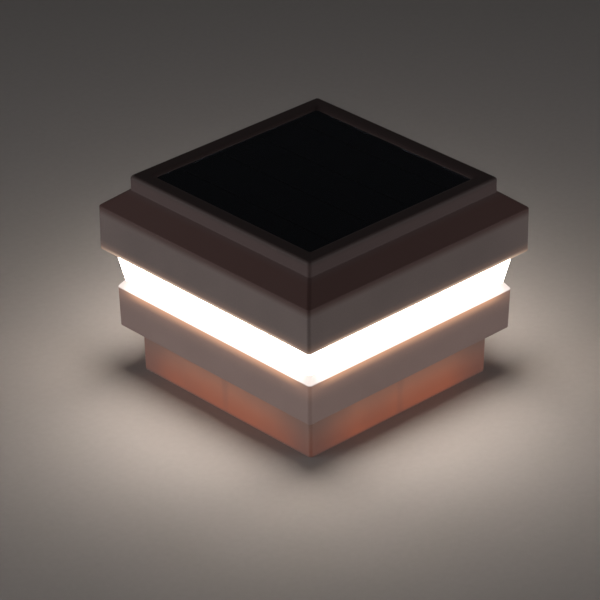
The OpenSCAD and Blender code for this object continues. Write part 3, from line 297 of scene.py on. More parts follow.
# Painted light: the masks below paint the lamp's light into the emission. The ledge gets a near-white
# flood that is dimmer towards the corners, the edge under it a warm fringe, and the face a soft spill
# that fades downwards.
reach_out = tier.outward() + draws_in * (tier.z - tier_top).higher(0)
outside = reach_out.ease(tier_half - 0.0015, tier_half - 0.0009)
over_edge = tier.z.ease(tier_top - 0.0006, tier_top + 0.0004)
ledge = over_edge * tier.z.ease(rim_top + 0.0008, rim_top - 0.0002) * outside
under_edge = tier.z.ease(tier_top - 0.0075, tier_top - 0.0002) ** 2
under_edge = under_edge * tier.z.ease(tier_top + 0.0006, tier_top)
fringe = under_edge * outside * tier.along().ease(tier_half - 0.001, 0.058)
bloom = tier.z.ease(0.036, tier_top) ** 2 * (0.5 + tier.noise(0.03))
painted_soft_spill = tier.blend(bloom, (0.046, 0.028, 0.024), (0.130, 0.070, 0.050))
painted_spill = tier.blend(fringe, painted_soft_spill, (0.46, 0.23, 0.13))
painted_flood = tier.blend(tier.along().ease(0.064, 0.073), (1.0, 0.94, 0.87), (0.62, 0.56, 0.53))
tier.shade({
    "Emission Color": tier.blend(ledge, painted_spill, painted_flood),
    "Emission Strength": 1.3,
})
fit(cast("tier_shell", 0.0003), "tier_shell", tier)

# ---- Tier screws ----
# Four zinc-plated pan-head screws, with a rolled thread and a cross recess. Each goes up from
# below through the sleeve's plate into a boss of the tier.


def ring(radius, height, sides):
    """Points round a circle about +Z."""
    turns = [2 * pi * i / sides for i in range(sides)]
    return [Vector((radius * cos(a), radius * sin(a), height)) for a in turns]


def loft(name, rings):
    """A closed piece over rings with the same number of points."""
    count = len(rings[0])
    corners = [corner for points in rings for corner in points]
    last = len(corners) - count
    faces = [list(range(count)), list(range(last, last + count))]
    for low in range(0, last, count):
        for i in range(count):
            j = (i + 1) % count
            faces.append([low + i, low + j, low + count + j, low + count + i])
    piece = piece_from(name, corners, faces)
    work = bmesh.new()
    work.from_mesh(piece.data)
    bmesh.ops.recalc_face_normals(work, faces=work.faces)
    work.to_mesh(piece.data)
    work.free()
    return piece


def screw(name, shank_r, head_r, head_h, length):
    """Along +Z from its seat at 0, with its head below."""
    sides = 24
    pitch = 0.8 * shank_r
    rings_a_turn = 6
    root = 0.78
    last = round(length / pitch * rings_a_turn)
    dome = [radians(a) for a in (12, 35, 55, 72, 90)]
    rings = [ring(head_r * sin(a), -head_h * (0.4 + 0.6 * cos(a)), sides) for a in dome]
    rings += [ring(head_r, 0, sides), ring(0.8 * shank_r, 0, sides)]
    for k in range(1, last + 1):
        height = length * k / last
        taper = min(1.0, 0.4 + (length - height) / (2.5 * shank_r))
        turn = ring(shank_r * taper, height, sides)
        for i, point in enumerate(turn):
            phase = height / pitch - i / sides
            crest = abs(2 * (phase - floor(phase)) - 1)
            point.xy *= root + (1 - root) * crest
        rings.append(turn)
    piece = loft(name, rings)
    arm = 0.52 * head_r
    web = 0.13 * head_r
    quarter = [Vector((arm, -web, 0)), Vector((arm, web, 0)), Vector((web, web, 0))]
    cross = [Matrix.Rotation(radians(90 * q), 3, "Z") @ v for q in range(4) for v in quarter]
    driver = loft(name + "_recess", [
        [v * size + Vector((0, 0, -depth * head_h)) for v in cross]
        for depth, size in ((1.4, 1.1), (0.45, 0.75))
    ])
    recess = piece.modifiers.new("recess", "BOOLEAN")
    recess.operation = "DIFFERENCE"
    recess.solver = "EXACT"
    recess.object = driver
    settle(piece)
    bpy.data.objects.remove(driver)
    return even_shading(piece, 50)


class Pattern(Graph):
    """A Geometry Nodes tree with named sizes, which sets out copies of one blank."""

    def __init__(self, name):
        super().__init__(bpy.data.node_groups.new(name, "GeometryNodeTree"))
        self.tree.interface.new_socket("Blank", in_out="INPUT", socket_type="NodeSocketGeometry")
        self.tree.interface.new_socket("Pieces", in_out="OUTPUT", socket_type="NodeSocketGeometry")
        self.entry = self.tree.nodes.new("NodeGroupInput")
        self.blank = Flow(self, self.entry.outputs[0])
        self.values = {}

    def size(self, name, value, kind="NodeSocketFloat"):
        """A named input of the tree."""
        socket = self.tree.interface.new_socket(name, in_out="INPUT", socket_type=kind)
        self.values[socket.identifier] = value
        return Flow(self, self.entry.outputs[name])

    def point(self, x, y, z):
        return self.node("ShaderNodeCombineXYZ", inputs={0: x, 1: y, 2: z})

    def copies(self, points, **choice):
        """The blank, once on each of the points, or on those that are chosen."""
        inputs = {"Points": points, "Instance": self.blank, **choice}
        return self.node("GeometryNodeInstanceOnPoints", inputs=inputs)

    def moved(self, shapes, **change):
        inputs = {key.capitalize(): value for key, value in change.items()}
        return self.node("GeometryNodeTransform", inputs={"Geometry": shapes, **inputs})

    def joined(self, shapes):
        whole = self.node("GeometryNodeJoinGeometry")
        for shape in shapes:
            self.feed(whole.socket.node.inputs[0], shape)
        return whole

    def run(self, piece, shapes, finish):
        """Gives the piece the plain mesh that the tree makes of it."""
        real = self.node("GeometryNodeRealizeInstances", inputs={0: shapes})
        done = self.node("GeometryNodeSetMaterial", inputs={0: real, "Material": finish.material})
        self.feed(self.tree.nodes.new("NodeGroupOutput").inputs[0], done)
        steps = piece.modifiers.new("pattern", "NODES")
        steps.node_group = self.tree
        for identifier, value in self.values.items():
            steps[identifier] = value
        return settle(piece)


def at_corners(piece, span, middle, finish):
    """Sets out a piece at the four corners of a rectangle."""
    layout = Pattern(piece.name + "_layout")
    grid = layout.node("GeometryNodeMeshGrid", inputs={
        "Size X": layout.size("Span X", span[0]),
        "Size Y": layout.size("Span Y", span[1]),
        "Vertices X": 2,
        "Vertices Y": 2,
    })
    place = layout.size("Middle", middle, "NodeSocketVector")
    return layout.run(piece, layout.moved(layout.copies(grid), translation=place), finish)


def plated(name, colour, gloss=0.3):
    """Bright plating over steel, with a slight haze and fine tool marks."""
    finish = Finish(name)
    haze = finish.noise(0.002, 3.0)
    marks = finish.noise(0.00025, 1.0)
    finish.shade({
        "Base Color": finish.blend(haze, tone(colour, 0.88), tone(colour, 1.08)),
        "Metallic": 1.0,
        "Roughness": gloss - 0.04 + haze * 0.12,
        "Normal": finish.relief(marks, 0.00001),
    })
    return finish


def four_screws(node, shank_r, head_r, head_h, head_up=False):
    low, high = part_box(node)
    seat = high.z - head_h if head_up else low.z + head_h
    piece = screw(node + "_threaded", shank_r, head_r, head_h, high.z - low.z - head_h)
    if head_up:
        piece.data.transform(Matrix.Rotation(pi, 4, "X"))
    span = (high.x - low.x - 2 * head_r, high.y - low.y - 2 * head_r)
    middle = ((low.x + high.x) / 2, (low.y + high.y) / 2, seat)
    fit(at_corners(piece, span, middle, zinc), node, zinc)


zinc = plated("zinc_plate", (0.55, 0.56, 0.57))
large_shank_r = 0.0015
large_head_r = 0.0029
large_head_h = 0.0020
four_screws("tier_screws", large_shank_r, large_head_r, large_head_h)

# ---- Cap ----
# The head's outer moulding: a deep upright fascia, a sloped shoulder, and a raised frame round
# the panel. Above the fascia it is painted darker and redder as shade, and the lamp's light on
# the fascia's lower edge is a painted warm glow.

cap = moulded("cap_vinyl", vinyl, 0.68)
fascia_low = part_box("cap_shell")[0].z
fascia_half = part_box("cap_shell")[1].x
shoulder_low = 0.1015
shoulder_high = 0.1115
# Painted shade: the shoulder and the frame above the fascia are painted darker and redder in the base
# colour, and the frame darker still towards its top edge.
over_lamp = cap.z.ease(shoulder_low - 0.0055, shoulder_low)
sloped = cap.z.ease(shoulder_high + 0.0010, shoulder_high - 0.0030) * (0.75 + 0.25 * cap.noise(0.05))
frame_top = cap.z.ease(shoulder_high + 0.0045, shoulder_high + 0.0082)
painted_frame_shade = cap.blend(frame_top, (0.062, 0.039, 0.037), (0.041, 0.027, 0.025))
painted_upper_shade = cap.blend(sloped, painted_frame_shade, (0.056, 0.025, 0.021))
# Painted light: the lamp's light on the fascia's lower edge is painted into the emission, a warm band
# with a near-white line at the foot, dimmer at the corners.
lower_wall = cap.outward().ease(fascia_half - 0.0035, fascia_half - 0.0015)
warm = cap.z.ease(fascia_low + 0.007, fascia_low) * lower_wall
off_corner = 0.35 + 0.65 * cap.along().ease(fascia_half - 0.0025, fascia_half - 0.0205)
lit = cap.z.ease(fascia_low + 0.0034, fascia_low) ** 2 * lower_wall * off_corner
painted_warm_edge = cap.blend(warm, (0.003, 0.002, 0.002), (0.085, 0.045, 0.028))
painted_lit_edge = cap.blend(lit, painted_warm_edge, (0.80, 0.58, 0.42))
cap.shade({
    "Base Color": cap.blend(over_lamp, cap.base, painted_upper_shade),
    "Emission Color": painted_lit_edge,
    "Emission Strength": 1.0,
})
fit(cast("cap_shell", 0.0003, 0.00003), "cap_shell", cap)

# ---- Panel bedding ----
# A ring of closed-cell foam in the cap's pocket, and the black board that is laid on it. The
# board carries the cells, and the foam keeps water out of the head.


def rubbery(name, colour, pore=0.0006, depth=0.00004):
    """Soft black seal material with small round pores."""
    finish = Finish(name)
    inputs = {"Vector": finish.place, "Scale": 1 / pore}
    pores = finish.node("ShaderNodeTexVoronoi", inputs=inputs, out="Distance")
    finish.shade({
        "Base Color": finish.blend(pores, tone(colour, 0.7), tone(colour, 1.25)),
        "Roughness": 0.75 + pores * 0.15,
        "Specular IOR Level": 0.3,
        "Normal": finish.relief(pores, depth),
    })
    return finish


foam = rubbery("closed_cell_foam", (0.06, 0.06, 0.065))
fit(cast("panel_gasket", 0.0001), "panel_gasket", foam)

backsheet = Finish("black_backsheet")
weave = backsheet.noise(0.0008, 1.0)
backsheet.shade({
    "Base Color": backsheet.blend(weave, (0.008, 0.008, 0.010), (0.014, 0.014, 0.017)),
    "Roughness": 0.42 + weave * 0.1,
    "Normal": backsheet.relief(weave, 0.00001),
})
fit(cast("panel_backboard", 0.0001), "panel_backboard", backsheet)

# ---- Solar cells ----
# Ten dark monocrystalline wafers with a blue coating, hair-thin printed fingers, and two tinned
# ribbons along each column.

wafer = Finish("coated_silicon")
finger_pitch = 0.0019
finger_half_w = 0.00009
finger = wafer.y.from_nearest(finger_pitch).ease(finger_half_w, 0.00004)
coating = wafer.noise(0.012, 2.0)
blue = wafer.blend(coating, (0.004, 0.006, 0.013), (0.007, 0.011, 0.026))
wafer.shade({
    "Base Color": wafer.blend(finger * 0.5, blue, (0.10, 0.10, 0.11)),
    "Roughness": 0.3 + coating * 0.12,
    "Specular IOR Level": 0.3,
})
fit(cast("solar_cells"), "solar_cells", wafer)

tin = plated("tinned_copper", (0.30, 0.30, 0.31), 0.38)
fit(cast("cell_ribbons"), "cell_ribbons", tin)

# ---- Panel cover ----
# A slab of clear epoxy under a dull anti-glare face, smoked so that the cells read as one
# black square. It lies just below the cap's frame.

cover = Finish("smoked_cover")
dimple = cover.noise(0.0009, 1.0)
cover.shade({
    "Base Color": cover.blend(dimple, (0.10, 0.11, 0.14), (0.12, 0.13, 0.16)),
    "Roughness": 0.12 + dimple * 0.06,
    "IOR": 1.4,
    "Specular IOR Level": 0.22,
    "Transmission Weight": 1.0,
    "Normal": cover.relief(dimple, 0.000006),
})
fit(cast("panel_cover", 0.0002), "panel_cover", cover)

# ---- Lead grommet ----
# The rubber bush through which the panel's two leads pass the roof of the head. It is pressed
# into a round hole under the panel, and grips both leads.

silicone = rubbery("silicone_rubber", (0.055, 0.055, 0.06), 0.0025, 0.00001)
fit(cast("lead_grommet", 0.00015), "lead_grommet", silicone)

# ---- Lens ----
# The frosted band round the foot of the head: one square ring of opal acrylic that flares
# upwards, lit by the LED strips behind it, and warmer where its edges take less of their light.

band_low = rim_top
band_high = fascia_low
led_pitch = 0.019
opal = Finish("lit_opal_acrylic")
frost = opal.noise(0.0006, 1.0)
above = opal.z.ease(band_low - 0.001, band_low + 0.004)
below = opal.z.ease(band_high + 0.004, band_high - 0.002)
hot_spot = 0.90 + 0.10 * opal.along().from_nearest(led_pitch).ease(led_pitch / 2, 0)
opal.shade({
    "Base Color": opal.blend(frost, (0.86, 0.84, 0.80), (0.92, 0.91, 0.88)),
    "Roughness": 0.5 + frost * 0.15,
    "Emission Color": opal.blend(above * below * hot_spot, (0.55, 0.42, 0.30), (1.0, 0.93, 0.85)),
    "Emission Strength": 14.0,
    "Normal": opal.relief(frost, 0.00002),
})
fit(cast("diffuser_lens", 0.0003), "diffuser_lens", opal)
fit(cast("lens_gasket", 0.0001), "lens_gasket", silicone)
fit(cast("tray_gasket", 0.0001), "tray_gasket", foam)

# ---- Light tray ----
# The white moulding that closes the head from below, in one with the battery box, the wall for
# the LED strips and the screw towers. Four long screws go up through the towers into the cap.

white = moulded("white_moulding", (0.74, 0.73, 0.70), 0.5)
fit(cast("light_tray", 0.0001), "light_tray", white)
four_screws("tray_screws", large_shank_r, large_head_r, large_head_h)

# ---- LED strips ----
# Four strips of white circuit board on the wall's pegs, each with a row of five LEDs: a yellow
# lens of phosphor in a white package, on two tinned pads.

strip_low, strip_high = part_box("led_board_right")
led_height = (strip_low.z + strip_high.z) / 2
mask = Finish("white_solder_mask")
gloss_spots = mask.noise(0.004, 2.0)
from_led = mask.along().from_nearest(led_pitch)
from_row = abs(mask.z - led_height)
blur = 0.00005
pad_near = 0.00115
pad_far = 0.00255
pad_half_w = 0.00135
track_off = 0.0042
track_half_w = 0.00065
pad = from_led.ease(pad_far + blur, pad_far - blur) * from_led.ease(pad_near - blur, pad_near + blur)
pad = pad * from_row.ease(pad_half_w + blur, pad_half_w - blur)
track = abs(from_row - track_off).ease(track_half_w + blur, track_half_w - blur)
laid = mask.blend(gloss_spots, (0.76, 0.76, 0.73), (0.82, 0.82, 0.79))
laid = mask.blend(track, laid, (0.70, 0.70, 0.64))
mask.shade({
    "Base Color": mask.blend(pad, laid, (0.55, 0.55, 0.56)),
    "Roughness": 0.3 + gloss_spots * 0.08,
    "Metallic": pad,
    "Normal": mask.relief(track, 0.00003),
})
for side in ("front", "right", "back", "left"):
    fit(cast("led_board_" + side, 0.0001), "led_board_" + side, mask)

led_l = 0.0035
led_w = 0.0028
led_t = 0.0008
lens_r = 0.0011
phosphor = Finish("led_package")
from_led = phosphor.along().from_nearest(led_pitch)
from_row = abs(phosphor.z - led_height)
spread = (from_led * from_led + from_row * from_row) ** 0.5
in_lens = spread.ease(lens_r + blur, lens_r - blur)
grainy = phosphor.noise(0.0002, 1.0)
phosphor.shade({
    "Base Color": phosphor.blend(in_lens, (0.80, 0.80, 0.78), (0.85, 0.72, 0.30)),
    "Roughness": 0.35 + grainy * 0.2,
    "Emission Color": phosphor.blend(in_lens, (0.30, 0.26, 0.20), (1.0, 0.86, 0.60)),
    "Emission Strength": 2.0,
})


def led_ring(reach_y, reach_z, out, is_round=False, sides=24):
    """Points at x = out, round an ellipse or round the rectangle that holds it."""
    points = []
    for i in range(sides):
        a = 2 * pi * (i + 0.5) / sides
        r = 1 if is_round else 1 / max(abs(cos(a)), abs(sin(a)))
        points.append(Vector((out, reach_y * r * cos(a), reach_z * r * sin(a))))
    return points


lip = 0.0001
led = loft("led_chips_lit", [
    led_ring(led_l / 2, led_w / 2, 0),
    led_ring(led_l / 2, led_w / 2, led_t - lip),
    led_ring(led_l / 2 - lip, led_w / 2 - lip, led_t),
    led_ring(lens_r, lens_r, led_t, True),
    led_ring(lens_r - lip, lens_r - lip, led_t - 1.5 * lip, True),
    led_ring(lens_r / 3, lens_r / 3, led_t - lip, True),
])
even_shading(led)
rows = Pattern("led_rows")
count = rows.size("LEDs a side", 5, "NodeSocketInt")
pitch = rows.size("Pitch", led_pitch)
face = rows.size("Face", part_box("led_chips")[1].x - led_t)
line = rows.node("GeometryNodeMeshLine", inputs={
    "Count": count,
    "Start Location": rows.point(face, (1 - count) * pitch / 2, rows.size("Height", led_height)),
    "Offset": rows.point(0, pitch, 0),
})
sides = [rows.moved(rows.copies(line), rotation=(0, 0, radians(90 * q))) for q in range(4)]
fit(rows.run(led, rows.joined(sides), phosphor), "led_chips", phosphor)

# ---- Control board ----
# The charge and dusk circuit on green board: a drum inductor, a capacitor in a sleeve, the
# driver chip, four plugs for the leads, and rows of small resistors. Four screws hold it.

board_low, board_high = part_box("control_board")
green = Finish("green_solder_mask")
tracks = green.node("ShaderNodeTexBrick", {"offset": 0.37, "squash": 1.6}, {
    "Vector": green.place,
    "Color1": (0.022, 0.13, 0.045),
    "Color2": (0.026, 0.15, 0.052),
    "Mortar": (0.055, 0.24, 0.085),
    "Scale": 1.0,
    "Mortar Size": 0.00018,
    "Mortar Smooth": 0.1,
    "Brick Width": 0.0058,
    "Row Height": 0.0016,
})
streaks = green.noise(0.003, 2.0)
green.shade({
    "Base Color": green.blend(streaks * 0.4, tracks, (0.02, 0.11, 0.04)),
    "Roughness": 0.28 + streaks * 0.1,
    "Normal": green.relief(green.node("ShaderNodeRGBToBW", inputs={0: tracks}), 0.00004),
})
fit(cast("control_board", 0.0001), "control_board", green)
small_shank_r = 0.0008
small_head_r = 0.0018
small_head_h = 0.0012
four_screws("board_screws", small_shank_r, small_head_r, small_head_h, head_up=True)

drum_low, drum_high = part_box("inductor")
drum_r = (drum_high.x - drum_low.x) / 2
drum_h = drum_high.z - drum_low.z
flange = 0.0009
bevel = 0.0002
wound_r = drum_r - 0.0011
wire_bulge = 0.0005
wire_turns = 9
steps_a_turn = 6
wire_rise = (drum_h - 2 * flange) / wire_turns
foot = [(2 * bevel, 0), (drum_r - bevel, 0), (drum_r, bevel)]
foot += [(drum_r, flange - bevel / 2), (drum_r - 2 * bevel, flange)]
wound = []
for k in range(wire_turns * steps_a_turn):
    turn = (k + 0.5) / steps_a_turn
    wound.append((wound_r + wire_bulge * abs(sin(pi * turn)), flange + wire_rise * turn))
profile = foot + wound + [(r, drum_h - z) for r, z in reversed(foot)]
winding = Finish("copper_winding")
level = winding.z - drum_low.z
from_end = level.lower(drum_h - level)
copper = from_end.ease(flange - 0.0001, flange)
lacquer = winding.noise(0.0015, 2.0)
coppery = winding.blend(lacquer, (0.50, 0.20, 0.08), (0.62, 0.29, 0.13))
winding.shade({
    "Base Color": winding.blend(copper, (0.035, 0.035, 0.038), coppery),
    "Metallic": copper,
    "Roughness": 0.6 - 0.3 * copper,
})
inductor = even_shading(loft("inductor_wound", [ring(r, z, 40) for r, z in profile]))
drum_middle = ((drum_low.x + drum_high.x) / 2, (drum_low.y + drum_high.y) / 2, drum_low.z)
inductor.data.transform(Matrix.Translation(drum_middle))
fit(inductor, "inductor", winding)

can_low, can_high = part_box("capacitor")
can_x = (can_low.x + can_high.x) / 2
can_y = (can_low.y + can_high.y) / 2
lid_r = 0.0026
stripe_off = 0.00215
sleeved = Finish("capacitor_sleeve")
out = ((sleeved.x - can_x) ** 2 + (sleeved.y - can_y) ** 2) ** 0.5
bare_top = sleeved.z.ease(can_high.z - 0.0005, can_high.z - 0.0003)
lid = bare_top * out.ease(lid_r + 0.0001, lid_r - 0.0001)
stripe = (sleeved.x - can_x).ease(stripe_off - 0.00005, stripe_off + 0.00005)
film = sleeved.noise(0.002, 2.0)
sleeve_colour = sleeved.blend(stripe, (0.018, 0.02, 0.028), (0.30, 0.31, 0.32))
sleeved.shade({
    "Base Color": sleeved.blend(lid, sleeve_colour, (0.60, 0.61, 0.62)),
    "Metallic": lid,
    "Roughness": 0.32 + film * 0.1,
})
fit(cast("capacitor", 0.0001), "capacitor", sleeved)

chip_low, chip_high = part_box("driver_chip")
epoxy = Finish("chip_epoxy")
moulding_half_w = 0.002
legs = abs(epoxy.y - (chip_low.y + chip_high.y) / 2).ease(moulding_half_w, moulding_half_w + 0.00005)
matt = epoxy.noise(0.0003, 1.0)
case_colour = epoxy.blend(matt, (0.014, 0.014, 0.015), (0.024, 0.024, 0.026))
epoxy.shade({
    "Base Color": epoxy.blend(legs, case_colour, (0.6, 0.6, 0.6)),
    "Metallic": legs,
    "Roughness": 0.5 - 0.15 * legs + matt * 0.1,
    "Normal": epoxy.relief(matt, 0.00001),
})
fit(cast("driver_chip", 0.00005), "driver_chip", epoxy)

nylon = moulded("white_nylon", (0.72, 0.70, 0.64), 0.4)
fit(cast("connectors", 0.0001), "connectors", nylon)

resistor_pitch = 0.004
resistor_row = 13
body_half_l = 0.00062
resistor = Finish("resistor_body")
ends = resistor.x.from_nearest(resistor_pitch).ease(body_half_l, body_half_l + 0.00004)
resistor.shade({
    "Base Color": resistor.blend(ends, (0.02, 0.02, 0.022), (0.6, 0.6, 0.6)),
    "Metallic": ends,
    "Roughness": 0.4 + 0.1 * resistor.noise(0.0005, 1.0),
})
half_l = 0.001
half_w = 0.0006
resistor_t = 0.0005
square = ((-1, -1), (1, -1), (1, 1), (-1, 1))
blank = loft("board_resistors", [
    [Vector((x * half_l * size, y * half_w * size, share * resistor_t)) for x, y in square]
    for size, share in ((1, 0), (1, 0.9), (0.95, 1))
])
smd = Pattern("resistor_rows")
grid = smd.node("GeometryNodeMeshGrid", inputs={
    "Size X": smd.size("Row length", (resistor_row - 1) * resistor_pitch),
    "Size Y": smd.size("Row spacing", 0.0126),
    "Vertices X": smd.size("Resistors a row", resistor_row, "NodeSocketInt"),
    "Vertices Y": 2,
})
kept = smd.node("FunctionNodeRandomValue", {"data_type": "BOOLEAN"}, {
    "Probability": smd.size("Share kept", 0.72),
    "Seed": smd.size("Seed", 4, "NodeSocketInt"),
}, 3)
row_middle = (0.0, (board_low.y + board_high.y) / 2 - 0.0031, board_high.z)
middle = smd.size("Middle", row_middle, "NodeSocketVector")
smd.run(blank, smd.moved(smd.copies(grid, Selection=kept), translation=middle), resistor)
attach(blank, "head")

# ---- Switch ----
# A slide switch over a recess in the tray: a black case with three tinned terminals, and a
# ribbed knob that reaches down into the recess.

pin_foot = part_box("switch_body")[1].z - 0.002
case = Finish("switch_case")
pins = case.z.ease(pin_foot - 0.0001, pin_foot + 0.0001)
matt = case.noise(0.0005, 2.0)
case_colour = case.blend(matt, (0.016, 0.016, 0.018), (0.028, 0.028, 0.03))
case.shade({
    "Base Color": case.blend(pins, case_colour, (0.62, 0.61, 0.58)),
    "Metallic": pins,
    "Roughness": 0.4 + matt * 0.12,
    "Normal": case.relief(matt, 0.00001),
})
fit(cast("switch_body", 0.0001), "switch_body", case)
knob_black = moulded("black_moulding", (0.022, 0.022, 0.024), 0.4)
fit(cast("switch_knob", 0.0001), "switch_knob", knob_black)

# ---- Battery ----
# One lithium cell in a blue shrink wrap, bare metal at its ends, between a flat contact with a
# dimple and a conical spring on its plate. Both contacts are nickel-plated spring steel.

cell_low, cell_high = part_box("battery_cell")
cell_axis = (cell_low.z + cell_high.z) / 2
nub_foot = cell_high.x - 0.0012
bare_r = 0.0079
wrap = Finish("shrink_wrap")
from_axis = (wrap.y ** 2 + (wrap.z - cell_axis) ** 2) ** 0.5
flat_end = wrap.x.ease(cell_low.x + 0.0003, cell_low.x + 0.0001)
nub_end = wrap.x.ease(nub_foot - 0.0001, nub_foot + 0.0001)
bare = flat_end.higher(nub_end) * from_axis.ease(bare_r + 0.0001, bare_r - 0.0001)
wrinkle = wrap.noise(0.004, 3.0)
blue_wrap = wrap.blend(wrinkle, (0.022, 0.11, 0.36), (0.035, 0.16, 0.46))
wrap.shade({
    "Base Color": wrap.blend(bare, blue_wrap, (0.62, 0.61, 0.58)),
    "Metallic": bare,
    "Roughness": 0.26 + wrinkle * 0.1,
    "Coat Weight": 0.4 - 0.4 * bare,
    "Normal": wrap.relief(wrinkle, 0.00004),
})
fit(cast("battery_cell", 0.0001), "battery_cell", wrap)

nickel = plated("nickel_plate", (0.62, 0.61, 0.58), 0.24)
fit(cast("spring_plate", 0.00008), "spring_plate", nickel)
fit(cast("contact_plus", 0.00008), "contact_plus", nickel)

coil_low, coil_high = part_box("battery_spring")
winder = Pattern("conical_spring")
wire_r = winder.size("Wire radius", 0.00035)
path = winder.node("GeometryNodeCurveSpiral", inputs={
    "Resolution": 40,
    "Rotations": winder.size("Turns", 3.0),
    "Start Radius": winder.size("Foot radius", 0.0056),
    "End Radius": winder.size("Nose radius", 0.0038),
    "Height": winder.size("Length", coil_high.x - coil_low.x) - 2 * wire_r,
    "Reverse": False,
})
section = winder.node("GeometryNodeCurvePrimitiveCircle", inputs={"Resolution": 12, "Radius": wire_r})
coil = winder.node("GeometryNodeCurveToMesh", inputs={
    "Curve": path,
    "Profile Curve": section,
    "Fill Caps": True,
})
axis_height = winder.size("Axis height", cell_axis)
start = winder.point(winder.size("Foot", coil_low.x) + wire_r, 0, axis_height)
# Turned so that the spiral's own axis runs along the cell
stood = winder.moved(coil, rotation=(radians(90), 0, radians(90)), translation=start)
spring = winder.run(piece_from("battery_spring_wound", [], []), stood, nickel)
spring.data.shade_smooth()
fit(spring, "battery_spring", nickel)

# ---- Battery door ----
# The white cover under the cell, on two moulded pins, with finger grooves, a foam seal and one
# captive screw.

fit(cast("door_gasket", 0.0001), "door_gasket", foam)
fit(cast("battery_door", 0.00015), "battery_door", white)
screw_low, screw_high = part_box("door_screw")
door_shank_r = 0.0012
door_head_r = 0.0023
door_head_h = 0.0011
door_screw_l = screw_high.z - screw_low.z - door_head_h
door_screw = screw("door_screw_threaded", door_shank_r, door_head_r, door_head_h, door_screw_l)
seat = (screw_low + screw_high) / 2
seat.z = screw_low.z + door_head_h
door_screw.data.transform(Matrix.Translation(seat))
fit(door_screw, "door_screw", zinc)

# ---- Wires ----
# Stranded wire in soft insulation from the panel, the battery, the switch and the LED strips to
# their plugs. Each run is soldered or plugged at both ends, inside the head.


def insulated(name, colour):
    finish = Finish(name)
    soft = finish.noise(0.006, 3.0)
    fine = finish.noise(0.0004, 1.0)
    finish.shade({
        "Base Color": finish.blend(soft, tone(colour, 0.8), tone(colour, 1.2)),
        "Roughness": 0.42 + soft * 0.14,
        "Specular IOR Level": 0.4,
        "Normal": finish.relief(fine, 0.00001),
    })
    return finish


def wire(node, radius, finish):
    """A node's run of wire, rounded: squared up first, and swollen by what rounding takes off."""
    work = merged(node, 0.000002)
    bmesh.ops.join_triangles(work, faces=work.faces, angle_face_threshold=pi, angle_shape_threshold=pi)
    piece = piece_of(node + "_wire", work)
    swell = piece.modifiers.new("swell", "DISPLACE")
    swell.strength = 0.1 * radius
    swell.mid_level = 0
    rounding = piece.modifiers.new("rounding", "SUBSURF")
    rounding.levels = 1
    rounding.render_levels = 1
    settle(piece)
    piece.data.shade_smooth()
    fit(piece, node, finish)


red = insulated("red_insulation", (0.45, 0.03, 0.02))
black = insulated("black_insulation", (0.02, 0.02, 0.021))
thick = 0.00075
thin = 0.0006
wire("panel_lead_red", thick, red)
wire("panel_lead_black", thick, black)
wire("battery_lead_red", thick, red)
wire("battery_lead_black", thick, black)
wire("switch_leads", thick, black)
wire("led_lead", thin, black)
wire("led_jumpers", thin, black)

# ---- Floor ----
# A plain pale sheet of paper that fills the picture, with painted shade that greys it further
# off. It belongs to the studio, and takes the object's shadow and the light of its band.

reach = 6.0
sheet = piece_from("floor", [(x * reach, y * reach, 0) for x, y in square], [(0, 1, 2, 3)])
paper = Finish("pale_floor")
tooth = paper.noise(0.004, 4.0)
# Painted shade: the paper is painted greyer away from the object, where less light falls.
painted_falloff = ((paper.x ** 2 + paper.y ** 2) ** 0.5).ease(0.2, 0.9)
near_colour = paper.blend(tooth, (0.44, 0.41, 0.395), (0.48, 0.45, 0.435))
paper.shade({
    "Base Color": paper.blend(painted_falloff, near_colour, (0.27, 0.255, 0.25)),
    "Roughness": 0.9,
    "Specular IOR Level": 0.1,
})
sheet.data.materials.append(paper.material)

# ---- Light ----
# Two wide, low softboxes, one for each side that the camera sees, and a dim sky, so that the
# top reads darker than the sides. Mirrors and glass see a plain sweep of paper instead of the
# sky, from mid grey low down to near black overhead.

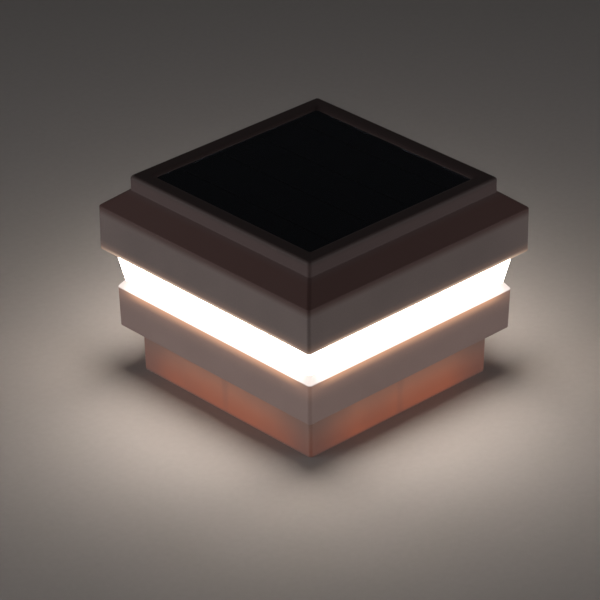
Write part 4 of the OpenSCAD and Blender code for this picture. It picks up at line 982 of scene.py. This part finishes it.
world = bpy.data.worlds.new("studio")
bpy.context.scene.world = world
world.use_nodes = True
sky = Graph(world.node_tree)
rays = sky.node("ShaderNodeLightPath").socket.node.outputs
seen = [Flow(sky, rays["Is " + kind + " Ray"]) for kind in ("Camera", "Glossy", "Transmission")]
direction = sky.node("ShaderNodeTexCoord", out="Generated")
height = sky.node("ShaderNodeSeparateXYZ", inputs={0: direction}, out="Z")
dome = sky.blend(height.ease(0.0, 0.55), (0.205, 0.200, 0.197), (0.024, 0.023, 0.023))
sweep = sky.blend(height.ease(0.0, 0.42), (0.16, 0.155, 0.15), (0.020, 0.021, 0.024))
backdrop = sky.blend((seen[0] + seen[1] + seen[2]).lower(1), dome, sweep)
sky.feed(world.node_tree.nodes["Background"].inputs["Color"], backdrop)

lit_spot = Vector((0, 0, 0.06))
for name, place, power in (
    ("left_softbox", Vector((-2.1, 1.1, 0.25)), 34),
    ("right_softbox", Vector((1.1, -2.1, 0.25)), 24),
):
    lamp = bpy.data.lights.new(name, "AREA")
    lamp.energy = power
    lamp.shape = "RECTANGLE"
    lamp.size = 1.6
    lamp.size_y = 0.5
    softbox = bpy.data.objects.new(name, lamp)
    softbox.location = place
    softbox.rotation_mode = "QUATERNION"
    softbox.rotation_quaternion = (lit_spot - place).to_track_quat("-Z", "Y")
    bpy.context.scene.collection.objects.link(softbox)

# ---- Camera ----
# A long lens, nearly two metres away, which looks down on the front corner. It is aimed a little
# beside the object's middle, and rolled by less than half a degree.

turn = radians(-43.631)
tilt = radians(28.751)
roll = Quaternion((0, 0, 1), radians(-0.4335))
distance = 1.8445
pivot = Vector((0, 0, 0.0491))
# How far the view is aimed from the pivot, to the right and up
aside = Vector((-0.0077, -0.0045, 0))
back = Vector((sin(turn) * cos(tilt), -cos(turn) * cos(tilt), sin(tilt)))
camera = bpy.data.cameras.new("camera")
camera.sensor_width = 36
camera.lens = 202.5
camera.clip_end = 50
eye = bpy.data.objects.new("camera", camera)
bpy.context.scene.collection.objects.link(eye)
eye.location = pivot + back * distance
aim = pivot + (-back).to_track_quat("-Z", "Y") @ roll @ aside
eye.rotation_mode = "QUATERNION"
eye.rotation_quaternion = (aim - eye.location).to_track_quat("-Z", "Y") @ roll
bpy.context.scene.camera = eye
bpy.context.scene.view_settings.view_transform = "Standard"
